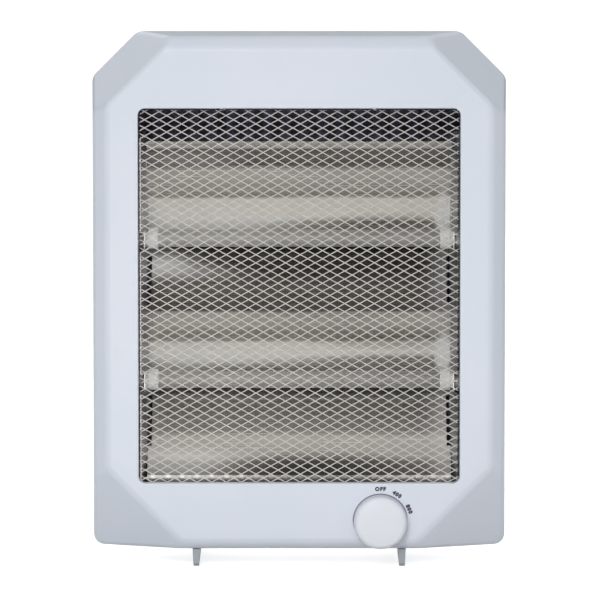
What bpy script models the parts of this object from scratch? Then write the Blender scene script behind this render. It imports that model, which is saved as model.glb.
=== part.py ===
# Two-tube quartz room heater, built as an assembly of separate pieces.
# Metres, +Z up. The front faces -Y, the feet stand on Z = 0 and X = 0 is the middle.

import math

import bmesh
import bpy
from mathutils import Vector

MM = 0.001

# Clearances
SEAT = 0.3 * MM
PIN_PLAY = 0.3 * MM
SCREW_PLAY = 0.4 * MM

# Front bezel, a moulded shell
FACE_Y = -52 * MM
BODY_WIDTH = 291 * MM
BODY_BOTTOM = 11 * MM
BODY_TOP = 374 * MM
BEZEL_DEPTH = 46 * MM
BEZEL_WALL = 2.6 * MM
BEZEL_DRAFT = math.radians(2.5)
SIDE_BAND = 11.5 * MM
TOP_BAND = 9.6 * MM
BOTTOM_BAND = 7.3 * MM
BAND_SLOPE = math.radians(42)
FACE_TOP_CORNER = 39.3 * MM
RIM_TOP_CORNER = 32.1 * MM
FACE_BOTTOM_CORNER = 51.8 * MM
FACET_REACH = 40 * MM
RIM_BOTTOM_TRIM = 5 * MM
BEZEL_ROUNDING = 3.2 * MM
CAVITY_ROUNDING = 1.2 * MM

# Window in the face and the collar round it
SIDE_RAIL = 21.7 * MM
TOP_RAIL = 42.2 * MM
BOTTOM_RAIL = 41.3 * MM
WINDOW_RADIUS = 4.8 * MM
WINDOW_ROUNDING = 0.9 * MM
COLLAR_WALL = 2.4 * MM
COLLAR_DEPTH = 8 * MM

# Guard of expanded metal: two layers of slanted strands in one uncut margin
DIAMOND_WIDTH = 10.35 * MM
DIAMOND_HEIGHT = 5.7 * MM
STRAND_WIDTH = 1.15 * MM
STRAND_THICKNESS = 0.6 * MM
LAYER_GAP = 0.3 * MM
MARGIN_WIDTH = 4.2 * MM
MARGIN_PROUD = 0.15 * MM
STRAND_BITE = 1.5 * MM
MARGIN_SHOW = 0.5 * MM

# Rear case, a pressed sheet tray with a flange
CASE_DEPTH = 44 * MM
CASE_SHEET = 1.2 * MM
CASE_DRAFT = math.radians(3)
FLANGE_WIDTH = 12 * MM
FLANGE_INSET = 1.5 * MM
CASE_ROUNDING = 5 * MM
SLOT_FIELD_MARGIN = 6 * MM
SLOT_GAP = 14 * MM
SLOT_HEIGHT = 4 * MM
SLOT_PITCH = 11 * MM
SLOT_COLUMNS = 3
SLOT_ROWS = 5
UPPER_SLOTS_RISE = 48 * MM
LOWER_SLOTS_RISE = 22 * MM
TOP_SLOT_LENGTH = 22 * MM
TOP_SLOT_WIDTH = 4 * MM
TOP_SLOT_PITCH = 12 * MM
TOP_SLOT_COUNT = 13

# Heating elements and the polished reflector
TUBE_SETBACK = 44 * MM
TUBE_RADIUS = 6 * MM
TUBE_WALL = 1.2 * MM
FOCAL_LENGTH = 17 * MM
PARABOLA_HALF = 28 * MM
REFLECTOR_SHEET = 0.8 * MM
REFLECTOR_LIP = 5 * MM
REFLECTOR_SILL = -1.6 * MM
REFLECTOR_DROP = 24.2 * MM
REFLECTOR_RELIEF = 2.7 * MM
RELIEF_DROP = 13 * MM
RELIEF_MARGIN = 4 * MM
WING_EXCESS = 15 * MM
PLATE_INSET = 5.3 * MM
PLATE_SHEET = 1 * MM
PLATE_OVERHANG = 3 * MM
PLATE_FLARE = 3.5 * MM
PLATE_FLANGE = 12 * MM
CAP_RADIUS = 7.4 * MM
CAP_NECK_RADIUS = 6.2 * MM
CAP_INNER_LENGTH = 7.5 * MM
CAP_OUTER_LENGTH = 10 * MM
SOCKET_DEPTH = 6 * MM
CAP_LEAD_BORE = 1.1 * MM
KEEPER_SHEET = 0.8 * MM
KEEPER_HEIGHT = 24 * MM
KEEPER_FRONT = 13 * MM
KEEPER_BACK = 7 * MM
COIL_RADIUS = 3.6 * MM
COIL_WIRE = 0.8 * MM
COIL_CURLS = 16
COIL_POINTS_PER_CURL = 8
COIL_RUN_OUT = 8 * MM
LEAD_LENGTH = 5 * MM

# Selector: knob, shaft and rotary switch
KNOB_FROM_SIDE = 77.1 * MM
KNOB_RISE = 14.6 * MM
KNOB_RADIUS = 18.4 * MM
KNOB_HEIGHT = 12.2 * MM
KNOB_LIFT = 0.8 * MM
KNOB_WALL = 2 * MM
KNOB_ROUNDING = 3.5 * MM
KNOB_HUB_RADIUS = 6 * MM
POINTER_LENGTH = 5 * MM
POINTER_WIDTH = 1.4 * MM
POINTER_DEPTH = 0.3 * MM
SHAFT_RADIUS = 3 * MM
SHAFT_FLAT = 0.8 * MM
SHAFT_IN_KNOB = 6 * MM
SHAFT_IN_SWITCH = 9 * MM
BUSH_RADIUS = 4.8 * MM
SWITCH_SIDE = 22 * MM
SWITCH_DEPTH = 18 * MM
SWITCH_CORNER = 2 * MM

# Feet, two runners that taper towards the floor
FOOT_FROM_SIDE = 73.3 * MM
FOOT_TIP_THICKNESS = 4 * MM
FOOT_TAPER = 0.11
FOOT_TOE = 7 * MM
FOOT_HEEL = 27 * MM
FOOT_HEEL_HEIGHT = 7 * MM
FOOT_CORNER = 2 * MM
FOOT_SCREW_FRONT = 12 * MM
FOOT_SCREW_BACK = 34 * MM
FOOT_SCREW_LENGTH = 11 * MM

# Carrying handle on the back
HANDLE_LENGTH = 124 * MM
HANDLE_REACH = 27 * MM
HANDLE_GRIP = 9 * MM
HANDLE_POST = 16 * MM
HANDLE_HEIGHT = 16 * MM
HANDLE_DROP = 56 * MM
HANDLE_OUTER_RADIUS = 12 * MM
HANDLE_INNER_RADIUS = 6 * MM
HANDLE_ROUNDING = 2 * MM

# Small electrical pieces behind the reflector
TERMINAL_FROM_SIDE = 71.5 * MM
TERMINAL_RISE = 39 * MM
TERMINAL_SIZE = (34 * MM, 13 * MM, 15 * MM)
TERMINAL_CORNER = 1.5 * MM
TERMINAL_WELL_RADIUS = 2.2 * MM
TERMINAL_WELL_PITCH = 10 * MM
TERMINAL_WELL_DEPTH = 6 * MM
GLAND_FROM_SIDE = 37.5 * MM
GLAND_RISE = 35 * MM
GLAND_BORE = 3.8 * MM
GLAND_NECK = 6.2 * MM
GLAND_FLANGE = 9 * MM
GLAND_FLANGE_THICKNESS = 2.2 * MM
GLAND_CHAMFER = 1 * MM
CUTOUT_X = 50 * MM
CUTOUT_RADIUS = 8 * MM
CUTOUT_HEIGHT = 7 * MM
CUTOUT_BASE = 2.8 * MM
CUTOUT_CHAMFER = 1 * MM
CUTOUT_STEP = 1.5 * MM
TILT_X = -18 * MM
TILT_FROM_BACK = 22.8 * MM
TILT_WIDTH = 24 * MM
TILT_LENGTH = 20 * MM
TILT_SHEET = 2 * MM
TILT_PIVOT_HEIGHT = 25 * MM
TILT_CHEEK_TOP = 30 * MM
PIVOT_RADIUS = 1.5 * MM
PENDULUM_HUB = 3.6 * MM
PENDULUM_WIDTH = 9 * MM
PENDULUM_ARM = 14 * MM
PENDULUM_ARM_WIDTH = 3 * MM
PENDULUM_WEIGHT_RADIUS = 6 * MM

# Pan head screws
SCREW_HEAD_RADIUS = 3.4 * MM
SCREW_HEAD_TOP = 2.65 * MM
SCREW_HEAD_HEIGHT = 1.9 * MM
SCREW_SHANK_RADIUS = 1.5 * MM
SCREW_LENGTH = 10 * MM
BOSS_RADIUS = 4.2 * MM
BOSS_RECESS = 0.3 * MM
PILOT_DEPTH = 14 * MM
SIDE_SCREW_RISE = 61 * MM
SIDE_SCREW_DROP = 56 * MM

# Places that follow from the sizes
BEZEL_REAR_Y = FACE_Y + BEZEL_DEPTH
FLANGE_Y = BEZEL_REAR_Y + SEAT
CASE_REAR_Y = FLANGE_Y + CASE_DEPTH - SEAT
CASE_INSIDE_Y = CASE_REAR_Y - CASE_SHEET
BODY_HALF = BODY_WIDTH / 2
FACE_HALF = BODY_HALF - SIDE_BAND
FACE_TOP = BODY_TOP - TOP_BAND
FACE_BOTTOM = BODY_BOTTOM + BOTTOM_BAND
WINDOW_WIDTH = 2 * (FACE_HALF - SIDE_RAIL)
WINDOW_TOP = FACE_TOP - TOP_RAIL
WINDOW_BOTTOM = FACE_BOTTOM + BOTTOM_RAIL
WINDOW_HEIGHT = WINDOW_TOP - WINDOW_BOTTOM
WINDOW_MIDDLE_Z = (WINDOW_BOTTOM + WINDOW_TOP) / 2
COLLAR_REAR_Y = FACE_Y + COLLAR_DEPTH
GUARD_FRONT_Y = COLLAR_REAR_Y + SEAT
GUARD_THICKNESS = 2 * (STRAND_THICKNESS + MARGIN_PROUD) + LAYER_GAP
GUARD_REAR_Y = GUARD_FRONT_Y + GUARD_THICKNESS
REFLECTOR_BOTTOM = WINDOW_BOTTOM + REFLECTOR_SILL
REFLECTOR_TOP = WINDOW_TOP - REFLECTOR_DROP
REFLECTOR_HALF_HEIGHT = (REFLECTOR_TOP - REFLECTOR_BOTTOM) / 2 - REFLECTOR_LIP
TUBE_PITCH = REFLECTOR_HALF_HEIGHT - WING_EXCESS
TUBE_MIDDLE_Z = (REFLECTOR_TOP + REFLECTOR_BOTTOM) / 2
TUBE_Y = FACE_Y + TUBE_SETBACK
TUBE_HEIGHTS = {
    "upper": TUBE_MIDDLE_Z + TUBE_PITCH / 2,
    "lower": TUBE_MIDDLE_Z - TUBE_PITCH / 2,
}
SIDES = {"left": -1, "right": 1}
TROUGH_Y = TUBE_Y + FOCAL_LENGTH
PLATE_INNER_X = WINDOW_WIDTH / 2 - PLATE_INSET
PLATE_OUTER_X = PLATE_INNER_X + PLATE_SHEET
SLOT_FIELD_WIDTH = 2 * (PLATE_INNER_X - SLOT_FIELD_MARGIN)
SLOT_LENGTH = (SLOT_FIELD_WIDTH - (SLOT_COLUMNS - 1) * SLOT_GAP) / SLOT_COLUMNS
PLATE_FRONT_Y = GUARD_REAR_Y + SEAT
KEEPER_INNER_X = PLATE_OUTER_X + SEAT
KEEPER_OUTER_X = KEEPER_INNER_X + KEEPER_SHEET
NECK_START_X = PLATE_INNER_X - SEAT
NECK_END_X = KEEPER_OUTER_X + SEAT
CAP_START_X = NECK_START_X - CAP_INNER_LENGTH
CAP_END_X = NECK_END_X + CAP_OUTER_LENGTH
TUBE_END_X = CAP_START_X + SOCKET_DEPTH - SEAT
KNOB_X = FACE_HALF - KNOB_FROM_SIDE
KNOB_Z = FACE_BOTTOM + KNOB_RISE
FOOT_X = BODY_HALF - FOOT_FROM_SIDE
HEEL_Y = CASE_REAR_Y + FOOT_HEEL
HANDLE_Z = BODY_TOP - HANDLE_DROP
TERMINAL_X = TERMINAL_FROM_SIDE - BODY_HALF
TERMINAL_Z = BODY_BOTTOM + TERMINAL_RISE
GLAND_X = GLAND_FROM_SIDE - BODY_HALF
GLAND_Z = BODY_BOTTOM + GLAND_RISE
TILT_Y = CASE_INSIDE_Y - TILT_FROM_BACK
SCREW_LINE = FLANGE_WIDTH / 2 + FLANGE_INSET / 2


def clear_scene():
    for thing in list(bpy.data.objects):
        bpy.data.objects.remove(thing, do_unlink=True)


def material(name, colour, roughness, metallic=0.0):
    made = bpy.data.materials.new(name)
    made.use_nodes = True
    shader = made.node_tree.nodes["Principled BSDF"]
    shader.inputs["Base Color"].default_value = (*colour, 1.0)
    shader.inputs["Roughness"].default_value = roughness
    shader.inputs["Metallic"].default_value = metallic
    made.diffuse_color = (*colour, 1.0)
    return made


def place(name, bm, look=None, parent=None, location=(0, 0, 0), rotation=(0, 0, 0)):
    """Makes an object of the bmesh, shaded smooth where its faces turn gently."""
    mesh = bpy.data.meshes.new(name)
    bm.to_mesh(mesh)
    bm.free()
    mesh.shade_smooth()
    mesh.set_sharp_from_angle(angle=math.radians(35))
    thing = bpy.data.objects.new(name, mesh)
    bpy.context.scene.collection.objects.link(thing)
    thing.location = location
    thing.rotation_euler = rotation
    thing.parent = parent
    if look:
        mesh.materials.append(look)
    return thing


def helper(name, bm, location=(0, 0, 0), rotation=(0, 0, 0)):
    """A cutter or a filler: it shapes other pieces and isn't a piece itself."""
    thing = place(name, bm, location=location, rotation=rotation)
    thing.hide_render = True
    thing.display_type = "WIRE"
    return thing


def boolean(target, operand, operation="DIFFERENCE"):
    modifier = target.modifiers.new(operand.name, "BOOLEAN")
    modifier.operation = operation
    modifier.object = operand
    modifier.solver = "EXACT"


def half_space_solid(planes):
    """The convex solid that is left inside all planes, each a point and its outward normal."""
    bm = bmesh.new()
    bmesh.ops.create_cube(bm, size=2.0)
    for point, normal in planes:
        everything = bm.verts[:] + bm.edges[:] + bm.faces[:]
        bmesh.ops.bisect_plane(
            bm, geom=everything, dist=1e-7, plane_co=point, plane_no=normal, clear_outer=True
        )
        rim = [edge for edge in bm.edges if edge.is_boundary]
        if rim:
            bmesh.ops.edgeloop_fill(bm, edges=rim)
    bmesh.ops.remove_doubles(bm, verts=bm.verts, dist=1e-6)
    bmesh.ops.recalc_face_normals(bm, faces=bm.faces)
    return bm


def soften(bm, radius, segments, keep=None):
    """Rounds the edges, apart from those of the face that looks along keep."""
    chosen = []
    for edge in bm.edges:
        kept = keep and any(face.normal.dot(Vector(keep)) > 0.999 for face in edge.link_faces)
        if not kept and edge.calc_face_angle(0) > math.radians(12):
            chosen.append(edge)
    bmesh.ops.bevel(
        bm, geom=chosen, offset=radius, segments=segments, profile=0.5, affect="EDGES"
    )
    return bm


def prism(outline, axis, low, high):
    """An outline drawn in the two other axes, in their order, extruded along the axis."""
    bm = bmesh.new()
    if axis == "X":
        corners = [bm.verts.new((low, u, v)) for u, v in outline]
        travel = (high - low, 0, 0)
    elif axis == "Y":
        corners = [bm.verts.new((u, low, v)) for u, v in outline]
        travel = (0, high - low, 0)
    else:
        corners = [bm.verts.new((u, v, low)) for u, v in outline]
        travel = (0, 0, high - low)
    bottom = bm.faces.new(corners)
    grown = bmesh.ops.extrude_face_region(bm, geom=[bottom])["geom"]
    moved = [item for item in grown if isinstance(item, bmesh.types.BMVert)]
    bmesh.ops.translate(bm, verts=moved, vec=travel)
    bmesh.ops.recalc_face_normals(bm, faces=bm.faces)
    return bm


def lofted(outlines):
    """A solid through outlines of as many points each, closed at both ends."""
    bm = bmesh.new()
    rings = [[bm.verts.new(point) for point in outline] for outline in outlines]
    for ring, following in zip(rings, rings[1:]):
        for index in range(len(ring)):
            before = index - 1
            bm.faces.new((ring[before], ring[index], following[index], following[before]))
    bm.faces.new(rings[0])
    bm.faces.new(rings[-1])
    bmesh.ops.recalc_face_normals(bm, faces=bm.faces)
    return bm


def arc(centre, radius, start, end, steps):
    """Points on an arc between two angles in degrees, both ends included."""
    points = []
    for step in range(steps + 1):
        angle = math.radians(start + (end - start) * step / steps)
        points.append((centre[0] + radius * math.cos(angle), centre[1] + radius * math.sin(angle)))
    return points


def rounded_rectangle(width, height, radius, steps=4, centre=(0, 0)):
    u = width / 2 - radius
    v = height / 2 - radius
    outline = []
    for turn, (across, up) in enumerate(((u, v), (-u, v), (-u, -v), (u, -v))):
        middle = (centre[0] + across, centre[1] + up)
        outline += arc(middle, radius, 90 * turn, 90 * turn + 90, steps)
    return outline


def capsule(length, width, steps=4, centre=(0, 0), upright=False):
    """A slot's outline with round ends."""
    reach = (length - width) / 2
    if upright:
        upper = arc((centre[0], centre[1] + reach), width / 2, 0, 180, steps)
        lower = arc((centre[0], centre[1] - reach), width / 2, 180, 360, steps)
        return upper + lower
    right = arc((centre[0] + reach, centre[1]), width / 2, -90, 90, steps)
    left = arc((centre[0] - reach, centre[1]), width / 2, 90, 270, steps)
    return right + left


def turned(profile, segments):
    """A profile of (radius, height) points spun round the local Z axis."""
    bm = bmesh.new()
    points = [bm.verts.new((radius, 0, height)) for radius, height in profile]
    edges = []
    for first, second in zip(points, points[1:] + points[:1]):
        if first.co.x > 0 or second.co.x > 0:
            edges.append(bm.edges.new((first, second)))
    bmesh.ops.spin(
        bm, geom=points + edges, cent=(0, 0, 0), axis=(0, 0, 1), angle=2 * math.pi,
        steps=segments, use_merge=True,
    )
    bmesh.ops.remove_doubles(bm, verts=bm.verts, dist=1e-6)
    bmesh.ops.recalc_face_normals(bm, faces=bm.faces)
    return bm


def cylinder(radius, length, segments=16):
    """A plain cylinder on the local Z axis, from 0 up to its length."""
    return turned([(0, 0), (radius, 0), (radius, length), (0, length)], segments)


def joined(meshes):
    """Several bmeshes that don't touch, put into one."""
    whole = bmesh.new()
    for bm in meshes:
        step = bpy.data.meshes.new("step")
        bm.to_mesh(step)
        bm.free()
        whole.from_mesh(step)
        bpy.data.meshes.remove(step)
    return whole


def moved(bm, offset):
    bmesh.ops.translate(bm, verts=bm.verts, vec=offset)
    return bm


ALONG_Y = (math.radians(-90), 0, 0)
AGAINST_Y = (math.radians(90), 0, 0)
ALONG_X = (0, math.radians(90), 0)


def leaning(side, draft):
    """An outward wall normal that leans to the front by the draft angle."""
    outward = Vector(side) * math.cos(draft)
    return outward + Vector((0, -math.sin(draft), 0))


def rim_outline_planes(inset, draft=0.0, y=BEZEL_REAR_Y):
    """The side walls of the body's outline, all moved inwards by the inset."""
    planes = []
    for side in SIDES.values():
        planes.append((Vector((side * BODY_HALF, y, 0)), leaning((side, 0, 0), draft)))
    planes.append((Vector((0, y, BODY_TOP)), leaning((0, 0, 1), draft)))
    planes.append((Vector((0, y, BODY_BOTTOM)), leaning((0, 0, -1), draft)))
    return [(point - normal * inset, normal) for point, normal in planes]


def corner_planes(inset, flat=False):
    """The facets across the corners; flat ones stand square to the back for the flange."""
    planes = []
    diagonal = math.sqrt(0.5)
    for side in SIDES.values():
        up = Vector((side * diagonal, 0, diagonal))
        rim = Vector((side * BODY_HALF, BEZEL_REAR_Y, BODY_TOP - RIM_TOP_CORNER))
        face = Vector((side * FACE_HALF, FACE_Y, FACE_TOP - FACE_TOP_CORNER))
        across = (rim - face).dot(up)
        lean = 0 if flat else math.atan2(across, BEZEL_DEPTH)
        normal = up * math.cos(lean) + Vector((0, -math.sin(lean), 0))
        planes.append((rim - normal * inset, normal))

        down = Vector((side * diagonal, 0, -diagonal))
        corner = Vector((side * BODY_HALF, FACE_Y + FACET_REACH, BODY_BOTTOM))
        if not flat:
            edge = Vector((side * FACE_HALF, FACE_Y, FACE_BOTTOM + FACE_BOTTOM_CORNER))
            across = (corner - edge).dot(down)
            lean = math.atan2(across, FACET_REACH)
            normal = down * math.cos(lean) + Vector((0, -math.sin(lean), 0))
            planes.append((corner - normal * inset, normal))
        trim = Vector((side * (BODY_HALF - RIM_BOTTOM_TRIM), 0, BODY_BOTTOM))
        planes.append((trim - down * inset, down))
    return planes


def bezel_planes(inset, rear_y):
    """The bezel's outside, or with the wall as inset its cavity."""
    planes = [
        (Vector((0, FACE_Y + inset, 0)), Vector((0, -1, 0))),
        (Vector((0, rear_y, 0)), Vector((0, 1, 0))),
    ]
    bands = (
        ((FACE_HALF, FACE_Y, 0), (1, 0, 0)),
        ((-FACE_HALF, FACE_Y, 0), (-1, 0, 0)),
        ((0, FACE_Y, FACE_TOP), (0, 0, 1)),
        ((0, FACE_Y, FACE_BOTTOM), (0, 0, -1)),
    )
    for point, side in bands:
        normal = Vector(side) * math.sin(BAND_SLOPE) + Vector((0, -math.cos(BAND_SLOPE), 0))
        planes.append((Vector(point) - normal * inset, normal))
    return planes + rim_outline_planes(inset, BEZEL_DRAFT) + corner_planes(inset)


def case_screw_places():
    """The screws through the flange, as (x, z), all round the rim."""
    low = BODY_BOTTOM + SIDE_SCREW_RISE
    high = BODY_TOP - SIDE_SCREW_DROP
    places = []
    for side in SIDES.values():
        for height in (low, (low + high) / 2, high):
            places.append((side * (BODY_HALF - SCREW_LINE), height))
    places.append((0, BODY_TOP - SCREW_LINE))
    places.append((0, BODY_BOTTOM + SCREW_LINE))
    return places


def window_cutter():
    """The hole of the window, flared at the face so that its edge is rounded."""
    rings = [(FACE_Y - BEZEL_WALL, WINDOW_ROUNDING)]
    for flare, y in arc((WINDOW_ROUNDING, FACE_Y + WINDOW_ROUNDING), WINDOW_ROUNDING, 270, 180, 3):
        rings.append((y, flare))
    rings.append((COLLAR_REAR_Y + BEZEL_WALL, 0))
    outlines = []
    for y, flare in rings:
        outline = rounded_rectangle(
            WINDOW_WIDTH + 2 * flare, WINDOW_HEIGHT + 2 * flare, WINDOW_RADIUS + flare,
            centre=(0, WINDOW_MIDDLE_Z),
        )
        outlines.append([(x, y, z) for x, z in outline])
    return lofted(outlines)


def make_bezel(look, parent):
    rear = (0, 1, 0)
    outside = half_space_solid(bezel_planes(0, BEZEL_REAR_Y))
    bezel = place("front_bezel", soften(outside, BEZEL_ROUNDING, 3, keep=rear), look, parent)

    hollow = half_space_solid(bezel_planes(BEZEL_WALL, BEZEL_REAR_Y + BEZEL_WALL))
    cavity = helper("bezel_cavity", soften(hollow, CAVITY_ROUNDING, 1, keep=rear))
    collar_outline = rounded_rectangle(
        WINDOW_WIDTH + 2 * COLLAR_WALL,
        WINDOW_HEIGHT + 2 * COLLAR_WALL,
        WINDOW_RADIUS + COLLAR_WALL,
        centre=(0, WINDOW_MIDDLE_Z),
    )
    collar = helper("window_collar", prism(collar_outline, "Y", FACE_Y, COLLAR_REAR_Y))
    boolean(cavity, collar)
    bosses = []
    pilots = []
    boss_end = BEZEL_REAR_Y - BOSS_RECESS
    for x, z in case_screw_places():
        outline = arc((x, z), BOSS_RADIUS, 0, 360, 12)[:-1]
        bosses.append(prism(outline, "Y", FACE_Y, boss_end))
        outline = arc((x, z), SCREW_SHANK_RADIUS + SCREW_PLAY, 0, 360, 8)[:-1]
        pilots.append(prism(outline, "Y", boss_end - PILOT_DEPTH, BEZEL_REAR_Y + BEZEL_WALL))
    boolean(cavity, helper("screw_bosses", joined(bosses)))
    boolean(bezel, cavity)

    cuts = [window_cutter()]
    bush_outline = arc((KNOB_X, KNOB_Z), BUSH_RADIUS + PIN_PLAY, 0, 360, 16)[:-1]
    cuts.append(prism(bush_outline, "Y", FACE_Y - BEZEL_WALL, FACE_Y + 2 * BEZEL_WALL))
    boolean(bezel, helper("bezel_cuts", joined(cuts + pilots)))
    return bezel


def strand_ends(offset, slope, half_width, low, high):
    """Where the line z = offset + slope * x enters and leaves a rectangle, or None."""
    entry = max(-half_width, min((low - offset) / slope, (high - offset) / slope))
    leave = min(half_width, max((low - offset) / slope, (high - offset) / slope))
    if leave - entry < STRAND_WIDTH:
        return None
    return (entry, offset + slope * entry), (leave, offset + slope * leave)


def strand_layer(direction, front_y, half_width, low, high):
    """One layer of parallel slanted strands, clipped a little inside the margin."""
    slope = direction * DIAMOND_HEIGHT / DIAMOND_WIDTH
    climb = abs(slope) * half_width
    first = math.floor((low - climb - WINDOW_MIDDLE_Z) / DIAMOND_HEIGHT)
    last = math.ceil((high + climb - WINDOW_MIDDLE_Z) / DIAMOND_HEIGHT)
    strands = []
    for count in range(first, last + 1):
        offset = WINDOW_MIDDLE_Z + count * DIAMOND_HEIGHT
        ends = strand_ends(offset, slope, half_width, low, high)
        if ends is None:
            continue
        start, end = Vector(ends[0]), Vector(ends[1])
        across = (end - start).orthogonal().normalized() * STRAND_WIDTH / 2
        outline = (start + across, start - across, end - across, end + across)
        strands.append(prism(outline, "Y", front_y, front_y + STRAND_THICKNESS))
    return strands


def make_guard(look, parent):
    opening_width = WINDOW_WIDTH + 2 * MARGIN_SHOW
    opening_height = WINDOW_HEIGHT + 2 * MARGIN_SHOW
    centre = (0, WINDOW_MIDDLE_Z)
    outer = rounded_rectangle(
        opening_width + 2 * MARGIN_WIDTH, opening_height + 2 * MARGIN_WIDTH,
        WINDOW_RADIUS + MARGIN_WIDTH, centre=centre,
    )
    inner = rounded_rectangle(opening_width, opening_height, WINDOW_RADIUS, centre=centre)
    guard = place("guard_mesh", prism(outer, "Y", GUARD_FRONT_Y, GUARD_REAR_Y), look, parent)
    hole = prism(inner, "Y", GUARD_FRONT_Y - MARGIN_WIDTH, GUARD_REAR_Y + MARGIN_WIDTH)
    boolean(guard, helper("guard_opening", hole))

    half_width = opening_width / 2 + STRAND_BITE
    low = WINDOW_MIDDLE_Z - opening_height / 2 - STRAND_BITE
    high = WINDOW_MIDDLE_Z + opening_height / 2 + STRAND_BITE
    front_layer = GUARD_FRONT_Y + MARGIN_PROUD
    rear_layer = front_layer + STRAND_THICKNESS + LAYER_GAP
    strands = strand_layer(1, front_layer, half_width, low, high)
    strands += strand_layer(-1, rear_layer, half_width, low, high)
    boolean(guard, helper("guard_strands", joined(strands)), "UNION")
    return guard


def case_planes(inset, front_y, rear_y):
    """The tray part of the rear case, or with the sheet as inset its inside."""
    planes = [
        (Vector((0, front_y, 0)), Vector((0, -1, 0))),
        (Vector((0, rear_y, 0)), Vector((0, 1, 0))),
    ]
    walls = rim_outline_planes(FLANGE_WIDTH, 0.0, FLANGE_Y) + [
        plane for plane in corner_planes(FLANGE_WIDTH, flat=True)
    ]
    for point, outward in walls:
        start = Vector((point.x, FLANGE_Y, point.z))
        normal = outward * math.cos(CASE_DRAFT) + Vector((0, math.sin(CASE_DRAFT), 0))
        planes.append((start - normal * inset, normal))
    return planes


def slot_cutters():
    """Rear slots in two fields, and a row of slots through the top wall."""
    cutters = []
    low = CASE_INSIDE_Y - CASE_SHEET
    high = CASE_REAR_Y + CASE_SHEET
    tops = (TUBE_HEIGHTS["upper"] + UPPER_SLOTS_RISE, TUBE_HEIGHTS["lower"] + LOWER_SLOTS_RISE)
    for top in tops:
        for row in range(SLOT_ROWS):
            for column in range(SLOT_COLUMNS):
                x = (column - (SLOT_COLUMNS - 1) / 2) * (SLOT_LENGTH + SLOT_GAP)
                z = top - row * SLOT_PITCH
                cutters.append(prism(capsule(SLOT_LENGTH, SLOT_HEIGHT, centre=(x, z)), "Y", low, high))
    middle_y = (FLANGE_Y + CASE_SHEET + CASE_REAR_Y - CASE_ROUNDING) / 2
    wall_high = BODY_TOP - FLANGE_WIDTH
    wall_low = wall_high - CASE_DEPTH * math.tan(CASE_DRAFT) - CASE_SHEET
    for count in range(TOP_SLOT_COUNT):
        x = (count - (TOP_SLOT_COUNT - 1) / 2) * TOP_SLOT_PITCH
        outline = capsule(TOP_SLOT_LENGTH, TOP_SLOT_WIDTH, 3, centre=(x, middle_y), upright=True)
        cutters.append(prism(outline, "Z", wall_low - CASE_SHEET, wall_high + CASE_SHEET))
    return cutters


def end_plate_screw_places():
    """The screws that hold the end plates to the back wall, as (x, z)."""
    places = []
    for side in SIDES.values():
        for height in TUBE_HEIGHTS.values():
            places.append((side * (PLATE_INNER_X + PLATE_FLANGE / 2 + PLATE_SHEET), height))
    return places


def handle_screw_places():
    return [(side * (HANDLE_LENGTH - HANDLE_POST) / 2, HANDLE_Z) for side in SIDES.values()]


def foot_screw_places():
    """The screws down through the case's bottom wall, as (x, y)."""
    places = []
    for side in SIDES.values():
        for back in (FOOT_SCREW_FRONT, FOOT_SCREW_BACK):
            places.append((side * FOOT_X, FLANGE_Y + back))
    return places


def case_bottom(y):
    """The height of the underside of the tray's bottom wall."""
    return BODY_BOTTOM + FLANGE_WIDTH + (y - FLANGE_Y) * math.tan(CASE_DRAFT)


def bezel_bottom(y):
    """The height of the underside of the bezel's bottom wall."""
    return BODY_BOTTOM + (BEZEL_REAR_Y - y) * math.tan(BEZEL_DRAFT)


def make_case(look, parent):
    flange_back = FLANGE_Y + CASE_SHEET
    flange_planes = rim_outline_planes(FLANGE_INSET) + corner_planes(FLANGE_INSET, flat=True)
    flange_planes.append((Vector((0, FLANGE_Y, 0)), Vector((0, -1, 0))))
    flange_planes.append((Vector((0, flange_back, 0)), Vector((0, 1, 0))))
    case = place("rear_case", half_space_solid(flange_planes), look, parent)

    mid_flange = FLANGE_Y + CASE_SHEET / 2
    front = (0, -1, 0)
    tray = half_space_solid(case_planes(0, mid_flange, CASE_REAR_Y))
    tray = soften(tray, CASE_ROUNDING, 3, keep=front)
    boolean(case, helper("case_tray", tray), "UNION")
    inside = half_space_solid(case_planes(CASE_SHEET, FLANGE_Y - CASE_SHEET, CASE_INSIDE_Y))
    inside = soften(inside, CASE_ROUNDING - CASE_SHEET, 3, keep=front)
    boolean(case, helper("case_inside", inside))

    hole = SCREW_SHANK_RADIUS + SCREW_PLAY
    cutters = slot_cutters()
    for x, z in case_screw_places():
        outline = arc((x, z), hole, 0, 360, 8)[:-1]
        cutters.append(prism(outline, "Y", FLANGE_Y - CASE_SHEET, flange_back + CASE_SHEET))
    for x, z in end_plate_screw_places() + handle_screw_places():
        outline = arc((x, z), hole, 0, 360, 8)[:-1]
        cutters.append(prism(outline, "Y", CASE_INSIDE_Y - CASE_SHEET, CASE_REAR_Y + CASE_SHEET))
    for x, y in foot_screw_places():
        outline = arc((x, y), hole, 0, 360, 8)[:-1]
        cutters.append(prism(outline, "Z", case_bottom(y) - CASE_SHEET, case_bottom(y) + 2 * CASE_SHEET))
    gland_outline = arc((GLAND_X, GLAND_Z), GLAND_NECK + PIN_PLAY, 0, 360, 16)[:-1]
    cutters.append(prism(gland_outline, "Y", CASE_INSIDE_Y - CASE_SHEET, CASE_REAR_Y + CASE_SHEET))
    boolean(case, helper("case_cuts", joined(cutters)))
    return case


def reflector_depth(z):
    """How far back the front surface of the reflector lies: parabolas with straight wings."""
    away = abs(abs(z - TUBE_MIDDLE_Z) - TUBE_PITCH / 2)
    curved = min(away, PARABOLA_HALF)
    slope = PARABOLA_HALF / (2 * FOCAL_LENGTH)
    return TROUGH_Y - curved**2 / (4 * FOCAL_LENGTH) - slope * (away - curved)


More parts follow.
